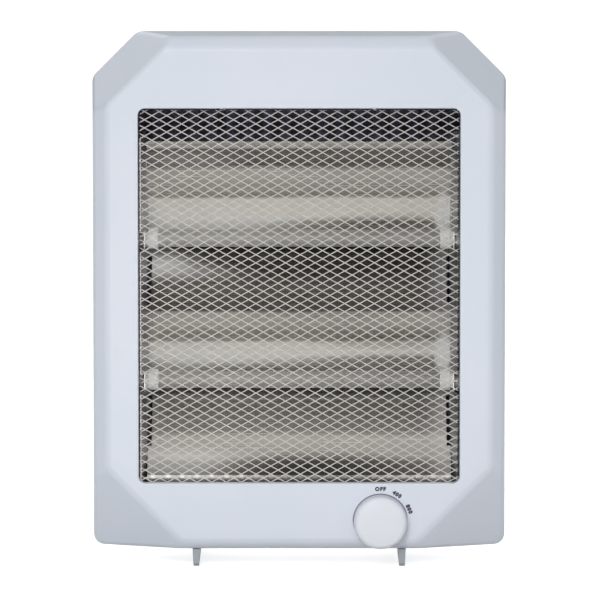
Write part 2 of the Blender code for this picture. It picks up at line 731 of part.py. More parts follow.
def make_reflector(look, parent):
    """A bent sheet: two troughs, a ridge between them, a lip at each end and reliefs at the sides."""
    half = []
    steps = 8
    top = TUBE_PITCH / 2
    half.append((reflector_depth(TUBE_MIDDLE_Z), TUBE_MIDDLE_Z))
    for step in range(steps + 1):
        z = TUBE_MIDDLE_Z + top + PARABOLA_HALF * (2 * step / steps - 1)
        half.append((reflector_depth(z), z))
    end = TUBE_MIDDLE_Z + REFLECTOR_HALF_HEIGHT
    half.append((reflector_depth(end), end))
    half.append((reflector_depth(end), end + REFLECTOR_LIP))
    mirrored = [(y, 2 * TUBE_MIDDLE_Z - z) for y, z in half[:0:-1]]
    front = [Vector(point) for point in mirrored + half]
    back = []
    for index, point in enumerate(front):
        before = front[max(index - 1, 0)]
        after = front[min(index + 1, len(front) - 1)]
        into = (point - before).normalized() if index else (after - point).normalized()
        out = (after - point).normalized() if index < len(front) - 1 else into
        mean = (into + out).normalized()
        normal = Vector((mean.y, -mean.x))
        stretch = max(normal.dot(Vector((into.y, -into.x))), 0.4)
        back.append(point + normal * REFLECTOR_SHEET / stretch)
    outline = front + back[::-1]
    half_length = PLATE_INNER_X - SEAT
    reflector = place("reflector", prism(outline, "X", -half_length, half_length), look, parent)
    reliefs = []
    for side in SIDES.values():
        ends = sorted((side * (half_length - REFLECTOR_RELIEF), side * PLATE_OUTER_X))
        for z in TUBE_HEIGHTS.values():
            low = z - TUBE_PITCH / 2 + RELIEF_MARGIN
            high = z - RELIEF_DROP
            outline = ((ends[0], low), (ends[1], low), (ends[1], high), (ends[0], high))
            reliefs.append(prism(outline, "Y", GUARD_REAR_Y, CASE_INSIDE_Y))
    boolean(reflector, helper("reflector_reliefs", joined(reliefs)))
    return reflector


def make_end_plate(name, side, look, parent):
    """A bent sheet: a plate flared at the front, with two open notches, and a flange at the back."""
    back = CASE_INSIDE_Y - SEAT
    flange_front = back - PLATE_SHEET
    bend = TUBE_Y - KEEPER_FRONT - SEAT
    plan = [
        (side * (PLATE_INNER_X + PLATE_FLARE), PLATE_FRONT_Y),
        (side * (PLATE_OUTER_X + PLATE_FLARE), PLATE_FRONT_Y),
        (side * PLATE_OUTER_X, bend),
        (side * PLATE_OUTER_X, flange_front),
        (side * (PLATE_OUTER_X + PLATE_FLANGE), flange_front),
        (side * (PLATE_OUTER_X + PLATE_FLANGE), back),
        (side * PLATE_INNER_X, back),
        (side * PLATE_INNER_X, bend),
    ]
    reach = REFLECTOR_HALF_HEIGHT + REFLECTOR_LIP + PLATE_OVERHANG
    plate = place(name, prism(plan, "Z", TUBE_MIDDLE_Z - reach, TUBE_MIDDLE_Z + reach), look, parent)
    cuts = []
    notch = CAP_NECK_RADIUS + PIN_PLAY
    for z in TUBE_HEIGHTS.values():
        outline = arc((TUBE_Y, z), notch, -90, 90, 8)
        outline += [(PLATE_FRONT_Y - notch, z + notch), (PLATE_FRONT_Y - notch, z - notch)]
        beyond = PLATE_OUTER_X + PLATE_FLARE + PLATE_SHEET
        ends = sorted((side * (PLATE_INNER_X - PLATE_SHEET), side * beyond))
        cuts.append(prism(outline, "X", *ends))
    for x, z in end_plate_screw_places():
        if x * side > 0:
            outline = arc((x, z), SCREW_SHANK_RADIUS + SCREW_PLAY, 0, 360, 8)[:-1]
            cuts.append(prism(outline, "Y", flange_front - PLATE_SHEET, back + PLATE_SHEET))
    boolean(plate, helper(name + "_cuts", joined(cuts)))
    return plate


def make_tube(name, z, look, parent):
    bore = TUBE_RADIUS - TUBE_WALL
    profile = [
        (TUBE_RADIUS, -TUBE_END_X),
        (TUBE_RADIUS, TUBE_END_X),
        (bore, TUBE_END_X),
        (bore, -TUBE_END_X),
    ]
    return place(name, turned(profile, 24), look, parent, (0, TUBE_Y, z), ALONG_X)


def make_cap(name, side, z, look, parent):
    """A ceramic end cap: socket for the tube, neck in the plate's notch, bore for the lead."""
    socket = TUBE_RADIUS + PIN_PLAY
    socket_end = CAP_START_X + SOCKET_DEPTH
    profile = [
        (socket, CAP_START_X),
        (CAP_RADIUS, CAP_START_X),
        (CAP_RADIUS, NECK_START_X),
        (CAP_NECK_RADIUS, NECK_START_X),
        (CAP_NECK_RADIUS, NECK_END_X),
        (CAP_RADIUS, NECK_END_X),
        (CAP_RADIUS, CAP_END_X),
        (CAP_LEAD_BORE, CAP_END_X),
        (CAP_LEAD_BORE, socket_end),
        (socket, socket_end),
    ]
    rotation = (0, math.radians(90 * side), 0)
    return place(name, turned(profile, 16), look, parent, (0, TUBE_Y, z), rotation)


def make_keeper(name, side, z, look, parent):
    """A sheet keeper behind the cap's neck, its notch open to the back."""
    notch = CAP_NECK_RADIUS + PIN_PLAY
    front = TUBE_Y - KEEPER_FRONT
    back = TUBE_Y + KEEPER_BACK
    half = KEEPER_HEIGHT / 2
    outline = arc((TUBE_Y, z), notch, 270, 90, 8)
    outline += [(back, z + notch), (back, z + half), (front, z + half), (front, z - half)]
    outline += [(back, z - half), (back, z - notch)]
    ends = sorted((side * KEEPER_INNER_X, side * KEEPER_OUTER_X))
    return place(name, prism(outline, "X", *ends), look, parent)


def tube_along(name, points, radius, resolution, look, parent, location=(0, 0, 0)):
    """A round wire along the points, with closed ends."""
    curve = bpy.data.curves.new(name, "CURVE")
    curve.dimensions = "3D"
    curve.bevel_depth = radius
    curve.bevel_resolution = resolution
    curve.use_fill_caps = True
    spline = curve.splines.new("POLY")
    spline.points.add(len(points) - 1)
    for target, point in zip(spline.points, points):
        target.co = (*point, 1.0)
    curve.materials.append(look)
    thing = bpy.data.objects.new(name, curve)
    bpy.context.scene.collection.objects.link(thing)
    thing.location = location
    thing.parent = parent
    return thing


def coil_points():
    """A helix whose ends run in to the axis and out through the caps as straight leads."""
    count = COIL_CURLS * COIL_POINTS_PER_CURL
    helix_end = CAP_START_X
    turns = [(-CAP_END_X - LEAD_LENGTH, 0, 0), (-helix_end, 0, 0)]
    run_in = helix_end - COIL_RUN_OUT
    for step in range(count + 1):
        x = -run_in + 2 * run_in * step / count
        angle = 2 * math.pi * step / COIL_POINTS_PER_CURL
        turns.append((x, COIL_RADIUS * math.cos(angle), COIL_RADIUS * math.sin(angle)))
    turns += [(helix_end, 0, 0), (CAP_END_X + LEAD_LENGTH, 0, 0)]
    return turns


def make_elements(looks, parent):
    pitch = 2 * (CAP_START_X - COIL_RUN_OUT) / COIL_CURLS
    print(f"least gap between curls of a heating coil: {(pitch - COIL_WIRE) / MM:.2f} mm")
    for level, z in TUBE_HEIGHTS.items():
        make_tube(f"quartz_tube_{level}", z, looks["quartz"], parent)
        tube_along(
            f"heating_coil_{level}", coil_points(), COIL_WIRE / 2, 1, looks["coil"], parent,
            (0, TUBE_Y, z),
        )
        for word, side in SIDES.items():
            make_cap(f"ceramic_cap_{level}_{word}", side, z, looks["ceramic"], parent)
            make_keeper(f"cap_keeper_{level}_{word}", side, z, looks["steel"], parent)


def knob_profile():
    """Half a section of the knob: hollow under its face, with a hub round the shaft."""
    bore = SHAFT_RADIUS + PIN_PLAY
    crown = KNOB_HEIGHT - KNOB_WALL
    rounding = arc((KNOB_RADIUS - KNOB_ROUNDING, KNOB_HEIGHT - KNOB_ROUNDING), KNOB_ROUNDING, 0, 80, 4)
    profile = [(KNOB_RADIUS, 0)] + rounding
    profile += [(0, KNOB_HEIGHT), (0, SHAFT_IN_KNOB + SEAT), (bore, SHAFT_IN_KNOB + SEAT), (bore, 0)]
    profile += [(KNOB_HUB_RADIUS, 0), (KNOB_HUB_RADIUS, crown - KNOB_WALL)]
    profile += [(KNOB_RADIUS - KNOB_WALL, crown - KNOB_WALL), (KNOB_RADIUS - KNOB_WALL, 0)]
    return profile


def make_knob(look, parent):
    location = (0, -KNOB_LIFT, 0)
    knob = place("selector_knob", turned(knob_profile(), 36), look, parent, location, AGAINST_Y)

    reach = (KNOB_RADIUS - KNOB_ROUNDING) / 2
    outline = capsule(POINTER_LENGTH, POINTER_WIDTH, 3, centre=(0, reach), upright=True)
    groove = prism(outline, "Z", KNOB_HEIGHT - POINTER_DEPTH, KNOB_HEIGHT + POINTER_DEPTH)
    cutter = helper("pointer_groove", groove, location, AGAINST_Y)
    cutter.parent = parent
    boolean(knob, cutter)


def cut_circle(centre, radius, half_width, turn, steps):
    """A circle that a chord of this half width opens at the top, or where it is turned to."""
    limit = math.degrees(math.asin(half_width / radius))
    start = turn + 90 + limit
    return arc(centre, radius, start, start + 360 - 2 * limit, steps)


def make_shaft(look, parent):
    front = -KNOB_LIFT - SHAFT_IN_KNOB
    back = BEZEL_WALL + SEAT + SHAFT_IN_SWITCH
    half_flat = math.sqrt(SHAFT_RADIUS**2 - (SHAFT_RADIUS - SHAFT_FLAT) ** 2)
    outline = cut_circle((0, 0), SHAFT_RADIUS, half_flat, 0, 18)
    place("selector_shaft", prism(outline, "Y", front, back), look, parent)


def make_switch(look, parent):
    """The rotary switch behind the face, its bush in the hole under the knob."""
    front = BEZEL_WALL + SEAT
    outline = rounded_rectangle(SWITCH_SIDE, SWITCH_SIDE, SWITCH_CORNER, 2)
    switch = place("selector_switch", prism(outline, "Y", front, front + SWITCH_DEPTH), look, parent)
    bush = arc((0, 0), BUSH_RADIUS, 0, 360, 16)[:-1]
    boolean(switch, helper("switch_bush", prism(bush, "Y", SEAT, front + SWITCH_DEPTH / 4)), "UNION")
    bore = arc((0, 0), SHAFT_RADIUS + PIN_PLAY, 0, 360, 16)[:-1]
    depth = front + SHAFT_IN_SWITCH + SEAT
    boolean(switch, helper("switch_bore", prism(bore, "Y", -KNOB_LIFT, depth)))
    for modifier in switch.modifiers:
        modifier.object.parent = parent


def foot_profile():
    """The side of a foot, as (y, z): it follows the bezel, the flange and the tray above it."""
    toe = FACE_Y + FOOT_TOE
    step = FLANGE_Y + CASE_SHEET + SEAT
    seat_end = CASE_REAR_Y - CASE_ROUNDING
    return [
        (toe + FOOT_CORNER, 0),
        (HEEL_Y - FOOT_CORNER, 0),
        (HEEL_Y, FOOT_CORNER),
        (HEEL_Y, FOOT_HEEL_HEIGHT),
        (seat_end, case_bottom(seat_end) - SEAT),
        (step, case_bottom(step) - SEAT),
        (step, bezel_bottom(BEZEL_REAR_Y) - SEAT),
        (toe, bezel_bottom(toe) - SEAT),
        (toe, FOOT_CORNER),
    ]


def make_foot(name, side, look, parent):
    foot = prism(foot_profile(), "X", -1, 1)
    for vertex in foot.verts:
        vertex.co.x *= FOOT_TIP_THICKNESS / 2 + FOOT_TAPER / 2 * vertex.co.z
    foot = place(name, foot, look, parent, (side * FOOT_X, 0, 0))
    bores = []
    for x, y in foot_screw_places():
        if x * side > 0:
            outline = arc((0, y), SCREW_SHANK_RADIUS + SCREW_PLAY, 0, 360, 8)[:-1]
            top = case_bottom(y)
            bores.append(prism(outline, "Z", top - FOOT_SCREW_LENGTH, top + CASE_SHEET))
    boolean(foot, helper(name + "_bores", joined(bores), (side * FOOT_X, 0, 0)))


def handle_outline():
    """The handle seen from above: two posts and a grip, with round corners."""
    seat = CASE_REAR_Y + SEAT
    outside = CASE_REAR_Y + HANDLE_REACH
    inside = outside - HANDLE_GRIP
    half = HANDLE_LENGTH / 2
    inner = half - HANDLE_POST
    outer_r = HANDLE_OUTER_RADIUS
    inner_r = HANDLE_INNER_RADIUS
    outline = [(half, seat)]
    outline += arc((half - outer_r, outside - outer_r), outer_r, 0, 90, 5)
    outline += arc((-half + outer_r, outside - outer_r), outer_r, 90, 180, 5)
    outline += [(-half, seat), (-inner, seat)]
    outline += arc((-inner + inner_r, inside - inner_r), inner_r, 180, 90, 4)
    outline += arc((inner - inner_r, inside - inner_r), inner_r, 90, 0, 4)
    outline += [(inner, seat)]
    return outline


def make_handle(look, parent):
    bm = prism(handle_outline(), "Z", -HANDLE_HEIGHT / 2, HANDLE_HEIGHT / 2)
    flat_edges = []
    for edge in bm.edges:
        level = abs(edge.verts[0].co.z - edge.verts[1].co.z) < 1e-6
        at_seat = all(vertex.co.y < CASE_REAR_Y + 2 * SEAT for vertex in edge.verts)
        if level and not at_seat:
            flat_edges.append(edge)
    bmesh.ops.bevel(
        bm, geom=flat_edges, offset=HANDLE_ROUNDING, segments=2, profile=0.5, affect="EDGES"
    )
    handle = place("carry_handle", bm, look, parent, (0, 0, HANDLE_Z))
    bores = []
    for x, _ in handle_screw_places():
        outline = arc((x, 0), SCREW_SHANK_RADIUS + SCREW_PLAY, 0, 360, 8)[:-1]
        low = CASE_REAR_Y - SEAT
        bores.append(prism(outline, "Y", low, low + SCREW_LENGTH + 2 * SEAT))
    boolean(handle, helper("handle_bores", joined(bores), (0, 0, HANDLE_Z)))


def make_terminal_block(look, parent):
    width, height, depth = TERMINAL_SIZE
    back = CASE_INSIDE_Y - SEAT
    outline = rounded_rectangle(width, height, TERMINAL_CORNER, 2, (TERMINAL_X, TERMINAL_Z))
    block = place("terminal_block", prism(outline, "Y", back - depth, back), look, parent)
    wells = []
    for count in (-1, 0, 1):
        centre = (TERMINAL_X + count * TERMINAL_WELL_PITCH, TERMINAL_Z)
        outline = arc(centre, TERMINAL_WELL_RADIUS, 0, 360, 10)[:-1]
        front = back - depth
        wells.append(prism(outline, "Y", front - TERMINAL_WELL_DEPTH, front + TERMINAL_WELL_DEPTH))
    boolean(block, helper("terminal_wells", joined(wells)))


def make_gland(look, parent):
    """The bush that lines the cord hole, with a flange on each side of the wall."""
    thickness = GLAND_FLANGE_THICKNESS
    inner_face = -CASE_SHEET - SEAT
    outer_face = SEAT
    profile = [
        (GLAND_BORE, inner_face - thickness),
        (GLAND_FLANGE - GLAND_CHAMFER, inner_face - thickness),
        (GLAND_FLANGE, inner_face),
        (GLAND_NECK, inner_face),
        (GLAND_NECK, outer_face),
        (GLAND_FLANGE, outer_face),
        (GLAND_FLANGE - GLAND_CHAMFER, outer_face + thickness),
        (GLAND_BORE, outer_face + thickness),
    ]
    location = (GLAND_X, CASE_REAR_Y, GLAND_Z)
    place("cord_gland", turned(profile, 16), look, parent, location, ALONG_Y)


def make_thermal_cutout(look, parent):
    """The snap disc switch on the back of the upper trough."""
    profile = [
        (0, 0),
        (CUTOUT_RADIUS - CUTOUT_CHAMFER, 0),
        (CUTOUT_RADIUS, CUTOUT_CHAMFER),
        (CUTOUT_RADIUS, CUTOUT_BASE),
        (CUTOUT_RADIUS - CUTOUT_STEP, CUTOUT_BASE),
        (CUTOUT_RADIUS - CUTOUT_STEP, CUTOUT_HEIGHT),
        (0, CUTOUT_HEIGHT),
    ]
    y = TROUGH_Y + REFLECTOR_SHEET + SEAT
    location = (CUTOUT_X, y, TUBE_HEIGHTS["upper"])
    place("thermal_cutout", turned(profile, 20), look, parent, location, ALONG_Y)


def make_tilt_switch(looks, parent):
    """A bracket with two cheeks, a pivot pin and a pendulum that hangs from it."""
    floor = case_bottom(TILT_Y + TILT_LENGTH / 2) + CASE_SHEET + SEAT
    half = TILT_WIDTH / 2
    section = [
        (-half, 0),
        (half, 0),
        (half, TILT_CHEEK_TOP),
        (half - TILT_SHEET, TILT_CHEEK_TOP),
        (half - TILT_SHEET, TILT_SHEET),
        (-half + TILT_SHEET, TILT_SHEET),
        (-half + TILT_SHEET, TILT_CHEEK_TOP),
        (-half, TILT_CHEEK_TOP),
    ]
    location = (TILT_X, TILT_Y, floor)
    bracket = prism(section, "Y", -TILT_LENGTH / 2, TILT_LENGTH / 2)
    bracket = place("tilt_switch_bracket", bracket, looks["dark_plastic"], parent, location)
    hole = arc((0, TILT_PIVOT_HEIGHT), PIVOT_RADIUS + PIN_PLAY, 0, 360, 10)[:-1]
    boolean(bracket, helper("pivot_hole", prism(hole, "X", -TILT_WIDTH, TILT_WIDTH), location))

    pivot = (TILT_X, TILT_Y, floor + TILT_PIVOT_HEIGHT)
    pin = moved(cylinder(PIVOT_RADIUS, TILT_WIDTH, 12), (0, 0, -half))
    place("tilt_pivot_pin", pin, looks["steel"], parent, pivot, ALONG_X)

    neck = PENDULUM_ARM_WIDTH / 2
    outline = cut_circle((0, 0), PENDULUM_HUB, neck, 180, 10)
    outline += cut_circle((0, -PENDULUM_ARM), PENDULUM_WEIGHT_RADIUS, neck, 0, 14)
    half_width = PENDULUM_WIDTH / 2
    pendulum = place(
        "tilt_pendulum", prism(outline, "X", -half_width, half_width), looks["steel"], parent, pivot
    )
    bore = arc((0, 0), PIVOT_RADIUS + PIN_PLAY, 0, 360, 12)[:-1]
    boolean(pendulum, helper("pendulum_bore", prism(bore, "X", -PENDULUM_WIDTH, PENDULUM_WIDTH), pivot))


def make_screw(name, location, rotation, look, parent, length=SCREW_LENGTH):
    """A pan head screw: the head's underside is at the origin and it points down the axis."""
    profile = [
        (0, -length),
        (SCREW_SHANK_RADIUS, -length + SCREW_SHANK_RADIUS),
        (SCREW_SHANK_RADIUS, 0),
        (SCREW_HEAD_RADIUS, 0),
        (SCREW_HEAD_TOP, SCREW_HEAD_HEIGHT),
        (0, SCREW_HEAD_HEIGHT),
    ]
    place(name, turned(profile, 10), look, parent, location, rotation)


def make_screws(look, parent):
    for count, (x, z) in enumerate(case_screw_places(), 1):
        location = (x, FLANGE_Y + CASE_SHEET + SEAT, z)
        make_screw(f"case_screw_{count}", location, ALONG_Y, look, parent)
    for count, (x, z) in enumerate(end_plate_screw_places(), 1):
        location = (x, CASE_REAR_Y + SEAT, z)
        make_screw(f"end_plate_screw_{count}", location, ALONG_Y, look, parent)
    for count, (x, z) in enumerate(handle_screw_places(), 1):
        location = (x, CASE_INSIDE_Y - SEAT, z)
        make_screw(f"handle_screw_{count}", location, AGAINST_Y, look, parent)
    for count, (x, y) in enumerate(foot_screw_places(), 1):
        location = (x, y, case_bottom(y) + CASE_SHEET + 2 * SEAT)
        make_screw(f"foot_screw_{count}", location, (0, 0, 0), look, parent)


def main():
    clear_scene()
    looks = {
        "bezel": material("bezel_plastic", (0.69, 0.72, 0.77), 0.42),
        "knob": material("knob_plastic", (0.70, 0.73, 0.78), 0.38),
        "guard": material("guard_paint", (0.72, 0.70, 0.64), 0.40),
        "reflector": material("polished_reflector", (0.80, 0.79, 0.76), 0.16, 1.0),
        "case": material("case_paint", (0.66, 0.69, 0.73), 0.48),
        "steel": material("zinc_steel", (0.62, 0.63, 0.64), 0.35, 1.0),
        "quartz": material("frosted_quartz", (0.86, 0.85, 0.80), 0.30),
        "coil": material("resistance_wire", (0.35, 0.34, 0.33), 0.40, 1.0),
        "ceramic": material("white_ceramic", (0.86, 0.85, 0.82), 0.55),
        "foot": material("foot_plastic", (0.62, 0.65, 0.69), 0.50),
        "dark_plastic": material("dark_plastic", (0.05, 0.05, 0.055), 0.50),
        "handle": material("handle_plastic", (0.60, 0.63, 0.67), 0.45),
        "rubber": material("gland_rubber", (0.03, 0.03, 0.03), 0.70),
        "screw": material("screw_steel", (0.55, 0.56, 0.58), 0.32, 1.0),
    }
    heater = bpy.data.objects.new("heater", None)
    bpy.context.scene.collection.objects.link(heater)
    knob_axis = bpy.data.objects.new("knob_axis", None)
    bpy.context.scene.collection.objects.link(knob_axis)
    knob_axis.location = (KNOB_X, FACE_Y, KNOB_Z)
    knob_axis.parent = heater

    make_bezel(looks["bezel"], heater)
    make_guard(looks["guard"], heater)
    make_reflector(looks["reflector"], heater)
    for word, side in SIDES.items():
        make_end_plate(f"end_plate_{word}", side, looks["steel"], heater)
        make_foot(f"foot_{word}", side, looks["foot"], heater)
    make_elements(looks, heater)
    make_case(looks["case"], heater)
    make_handle(looks["handle"], heater)
    make_knob(looks["knob"], knob_axis)
    make_shaft(looks["steel"], knob_axis)
    make_switch(looks["dark_plastic"], knob_axis)
    make_terminal_block(looks["ceramic"], heater)
    make_gland(looks["rubber"], heater)
    make_thermal_cutout(looks["dark_plastic"], heater)
    make_tilt_switch(looks, heater)
    make_screws(looks["screw"], heater)


main()
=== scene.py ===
import math
import bmesh
import bpy
from mathutils import Matrix, Vector


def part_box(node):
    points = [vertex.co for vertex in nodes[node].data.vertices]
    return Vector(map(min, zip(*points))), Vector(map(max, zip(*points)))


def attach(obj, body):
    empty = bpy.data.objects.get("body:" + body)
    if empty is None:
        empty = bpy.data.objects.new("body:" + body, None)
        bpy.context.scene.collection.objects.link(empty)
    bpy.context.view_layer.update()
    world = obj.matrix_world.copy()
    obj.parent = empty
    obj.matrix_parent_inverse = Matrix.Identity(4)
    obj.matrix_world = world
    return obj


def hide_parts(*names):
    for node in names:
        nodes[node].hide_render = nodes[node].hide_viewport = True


# Two-tube quartz heater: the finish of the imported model. Metres, +Z up, the front looks towards -Y.
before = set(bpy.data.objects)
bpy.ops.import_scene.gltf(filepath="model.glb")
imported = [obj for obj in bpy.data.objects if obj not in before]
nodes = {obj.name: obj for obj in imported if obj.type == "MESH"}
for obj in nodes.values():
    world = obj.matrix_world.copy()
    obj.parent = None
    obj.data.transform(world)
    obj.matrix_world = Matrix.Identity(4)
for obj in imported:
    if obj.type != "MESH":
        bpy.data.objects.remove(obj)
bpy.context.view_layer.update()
mm = 0.001
shared = bpy.context.scene.collection


def clean(bm, doubles=1e-6):
    bmesh.ops.remove_doubles(bm, verts=bm.verts, dist=doubles)
    bmesh.ops.recalc_face_normals(bm, faces=bm.faces)
    return bm


def asPiece(name, bm, material, smooth=35, body="heater", replaced=()):
    mesh = bpy.data.meshes.new(name)
    bm.to_mesh(mesh)
    bm.free()
    mesh.shade_smooth()
    mesh.set_sharp_from_angle(angle=math.radians(smooth))
    mesh.materials.append(material)
    piece = bpy.data.objects.new(name, mesh)
    shared.objects.link(piece)
    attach(piece, body)
    if replaced:
        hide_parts(*replaced)
    return piece


def scratch(name, bm):
    mesh = bpy.data.meshes.new(name)
    bm.to_mesh(mesh)
    bm.free()
    thing = bpy.data.objects.new(name, mesh)
    shared.objects.link(thing)
    return thing


def finalMesh(thing):
    # the mesh of a curve, or of an object with its modifiers; the object itself is thrown away
    graph = bpy.context.evaluated_depsgraph_get()
    made = bmesh.new()
    made.from_mesh(thing.evaluated_get(graph).to_mesh())
    bpy.data.objects.remove(thing, do_unlink=True)
    return made


def carved(bm, cutters):
    # the cutters are taken off in order and thrown away
    body = scratch("carveBody", bm)
    helpers = []
    for step, cutter in enumerate(cutters):
        helper = scratch("carveTool%d" % step, cutter)
        modifier = body.modifiers.new("carve%d" % step, "BOOLEAN")
        modifier.operation = "DIFFERENCE"
        modifier.object = helper
        modifier.solver = "EXACT"
        helpers.append(helper)
    made = finalMesh(body)
    for helper in helpers:
        bpy.data.objects.remove(helper, do_unlink=True)
    return made


def moved(bm, place, degrees=0, axis="X"):
    # turned round an axis through the origin, then moved to its place
    matrix = Matrix.Translation(place) @ Matrix.Rotation(math.radians(degrees), 4, axis)
    bmesh.ops.transform(bm, matrix=matrix, verts=bm.verts)
    return bm


def edgeBevel(bm, width, segments, sharper, keep=None):
    chosen = []
    for edge in bm.edges:
        if len(edge.link_faces) == 2 and edge.calc_face_angle(0) > math.radians(sharper):
            if keep is None or not keep(edge):
                chosen.append(edge)
    bmesh.ops.bevel(
        bm, geom=chosen, offset=width, segments=segments, profile=0.5,
        affect="EDGES", material=-1, clamp_overlap=True)


def halfSpaces(planes):
    # what is left of a big cube inside every plane (point, outward normal)
    bm = bmesh.new()
    bmesh.ops.create_cube(bm, size=2)
    for point, normal in planes:
        bmesh.ops.bisect_plane(
            bm, geom=bm.verts[:] + bm.edges[:] + bm.faces[:], dist=1e-7,
            plane_co=point, plane_no=normal, clear_outer=True)
        rim = [edge for edge in bm.edges if edge.is_boundary]
        if rim:
            bmesh.ops.edgeloop_fill(bm, edges=rim)
    return clean(bm)


def spun(profile, steps, location=(0, 0, 0), axis="Z"):
    # profile of (radius, height) pairs turned round an axis
    bm = bmesh.new()
    ring = [bm.verts.new((radius, 0, height)) for radius, height in profile]
    edges = []
    for first, second in zip(ring, ring[1:] + ring[:1]):
        if first.co.x > 1e-9 or second.co.x > 1e-9:
            edges.append(bm.edges.new((first, second)))
    bmesh.ops.spin(
        bm, geom=ring + edges, cent=(0, 0, 0), axis=(0, 0, 1), angle=2 * math.pi,
        steps=steps, use_merge=True)
    turns = {"Z": (0, "X"), "Y": (-90, "X"), "-Y": (90, "X"), "X": (90, "Y"), "-X": (-90, "Y")}
    return clean(moved(bm, location, *turns[axis]))


def fillet(centre, radius, start, end, steps):
    points = []
    for step in range(steps + 1):
        angle = math.radians(start + (end - start) * step / steps)
        points.append((centre[0] + radius * math.cos(angle), centre[1] + radius * math.sin(angle)))
    return points


def roundedPlate(width, height, radius, low, high, centre=(0, 0), steps=8):
    # a rounded rectangle in X and Z, from low to high along Y
    bm = bmesh.new()
    bmesh.ops.create_cube(bm, size=1)
    bmesh.ops.scale(bm, vec=(width, high - low, height), verts=bm.verts)
    bmesh.ops.translate(bm, vec=(centre[0], (low + high) / 2, centre[1]), verts=bm.verts)
    corners = [
        edge for edge in bm.edges
        if abs(edge.verts[0].co.y - edge.verts[1].co.y) > (high - low) / 2]
    bmesh.ops.bevel(
        bm, geom=corners, offset=radius, segments=steps, profile=0.5, affect="EDGES", material=-1)
    return bm


def newVerts(grown):
    return [item for item in grown if isinstance(item, bmesh.types.BMVert)]


def fill(tree, entry, item):
    # an input gets a link from a socket, or else a plain value
    if isinstance(item, bpy.types.NodeSocket):
        tree.links.new(item, entry)
    else:
        entry.default_value = item


def plug(tree, node, **inputs):
    for name, item in inputs.items():
        fill(tree, node.inputs[name.replace("_", " ")], item)


nodesPerRow, nodeStep = 8, (220, -320)


def nodeIn(tree, kind, settings=None, **inputs):
    # nodes stand in rows, in the order in which they are made
    made = tree.nodes.new(kind)
    row, column = divmod(len(tree.nodes) - 1, nodesPerRow)
    made.location = (nodeStep[0] * column, nodeStep[1] * row)
    for name, value in (settings or {}).items():
        setattr(made, name, value)
    plug(tree, made, **inputs)
    return made


def arithmetic(tree, operation, *values, clamp=False):
    made = nodeIn(tree, "ShaderNodeMath", {"operation": operation, "use_clamp": clamp})
    for entry, value in zip(made.inputs, values):
        fill(tree, entry, value)
    return made.outputs[0]


def spanned(tree, value, fromLow, fromHigh, toLow, toHigh, smooth=False):
    made = nodeIn(tree, "ShaderNodeMapRange", {"interpolation_type": "SMOOTHSTEP" if smooth else "LINEAR"},
                  Value=value, From_Min=fromLow, From_Max=fromHigh, To_Min=toLow, To_Max=toHigh)
    return made.outputs["Result"]


def remap(tree, noise, low, high):
    # noise lies mostly between these two values
    return spanned(tree, noise, 0.3, 0.7, low, high)


def coordinates(tree, space="Object"):
    return nodeIn(tree, "ShaderNodeTexCoord").outputs[space]


def stretched(tree, vector, scale):
    return nodeIn(tree, "ShaderNodeMapping", Vector=vector, Scale=scale).outputs["Vector"]


def axisOf(tree, axis, vector=None):
    return nodeIn(tree, "ShaderNodeSeparateXYZ", Vector=vector or coordinates(tree)).outputs[axis]


def noiseOn(tree, vector, **inputs):
    return nodeIn(tree, "ShaderNodeTexNoise", Vector=vector, **inputs).outputs["Fac"]


def mixed(tree, first, second, factor, **settings):
    # each colour is a plain one or a socket
    made = nodeIn(tree, "ShaderNodeMix", {"data_type": "RGBA", **settings})
    for index, item in ((0, factor), (6, first), (7, second)):
        fill(tree, made.inputs[index], (*item, 1) if isinstance(item, (tuple, list)) else item)
    return made.outputs[2]


def mixedShader(tree, factor, first, second):
    made = nodeIn(tree, "ShaderNodeMixShader")
    for entry, item in zip(made.inputs, (factor, first.outputs[0], second.outputs[0])):
        tree.links.new(item, entry)
    return made


def emptyMaterial(name, colour, rough, metal=0.0):
    made = bpy.data.materials.new(name)
    made.use_nodes = True
    tree = made.node_tree
    shader = tree.nodes["Principled BSDF"]
    plug(tree, shader, Base_Color=(*colour, 1), Roughness=rough, Metallic=metal)
    made.diffuse_color = (*colour, 1)
    return made, tree, shader


def newGroup(name, entries, exits):
    group = bpy.data.node_groups.new(name, "ShaderNodeTree")
    for label, value in entries.items():
        socket = group.interface.new_socket(label, in_out="INPUT", socket_type="NodeSocketFloat")
        socket.default_value = value
    for label in exits:
        group.interface.new_socket(label, in_out="OUTPUT", socket_type="NodeSocketFloat")
    return group, nodeIn(group, "NodeGroupInput").outputs, nodeIn(group, "NodeGroupOutput")


def useGroup(tree, group, **inputs):
    return nodeIn(tree, "ShaderNodeGroup", {"node_tree": group}, **inputs).outputs


print("stage: helpers ready")

# camera, light and floor
viewing = {
    "lookAt": (0.0006, 0, 0.1835), "distance": 4.0, "elevation": 5.5, "lens": 339.6, "sensor": 36,
    "ambientLow": 0.04, "ambientHigh": 0.84, "ambientColour": (0.96, 0.98, 1.0, 1),
    "roomLow": 0.04, "roomHigh": 0.40, "roomColour": (0.95, 0.975, 1.0, 1),
    "lamps": {  # watts, size and place
        "key": (19.0, 0.7, (-0.35, -2.4, 1.15)), "fill": (2.2, 1.2, (1.3, -1.5, 0.3)),
        "low": (1.4, 0.4, (-0.05, -0.6, 0.02)), "backLeft": (5.6, 1.2, (-0.8, 1.7, 1.3)),
        "backRight": (2.8, 1.2, (0.8, 1.7, 1.3))},
    "lampColour": (1.0, 0.985, 0.96), "lampTarget": (0, 0, 0.19),
    "floorTone": (0.55, 0.55, 0.55), "floorShown": (0.9, 0.9, 0.9), "floorGlow": 0.76, "floorHalf": 40,
    "farClip": 200,
}


def aimed(thing, place, target):
    thing.location = place
    thing.rotation_euler = (Vector(target) - Vector(place)).to_track_quat("-Z", "Y").to_euler()


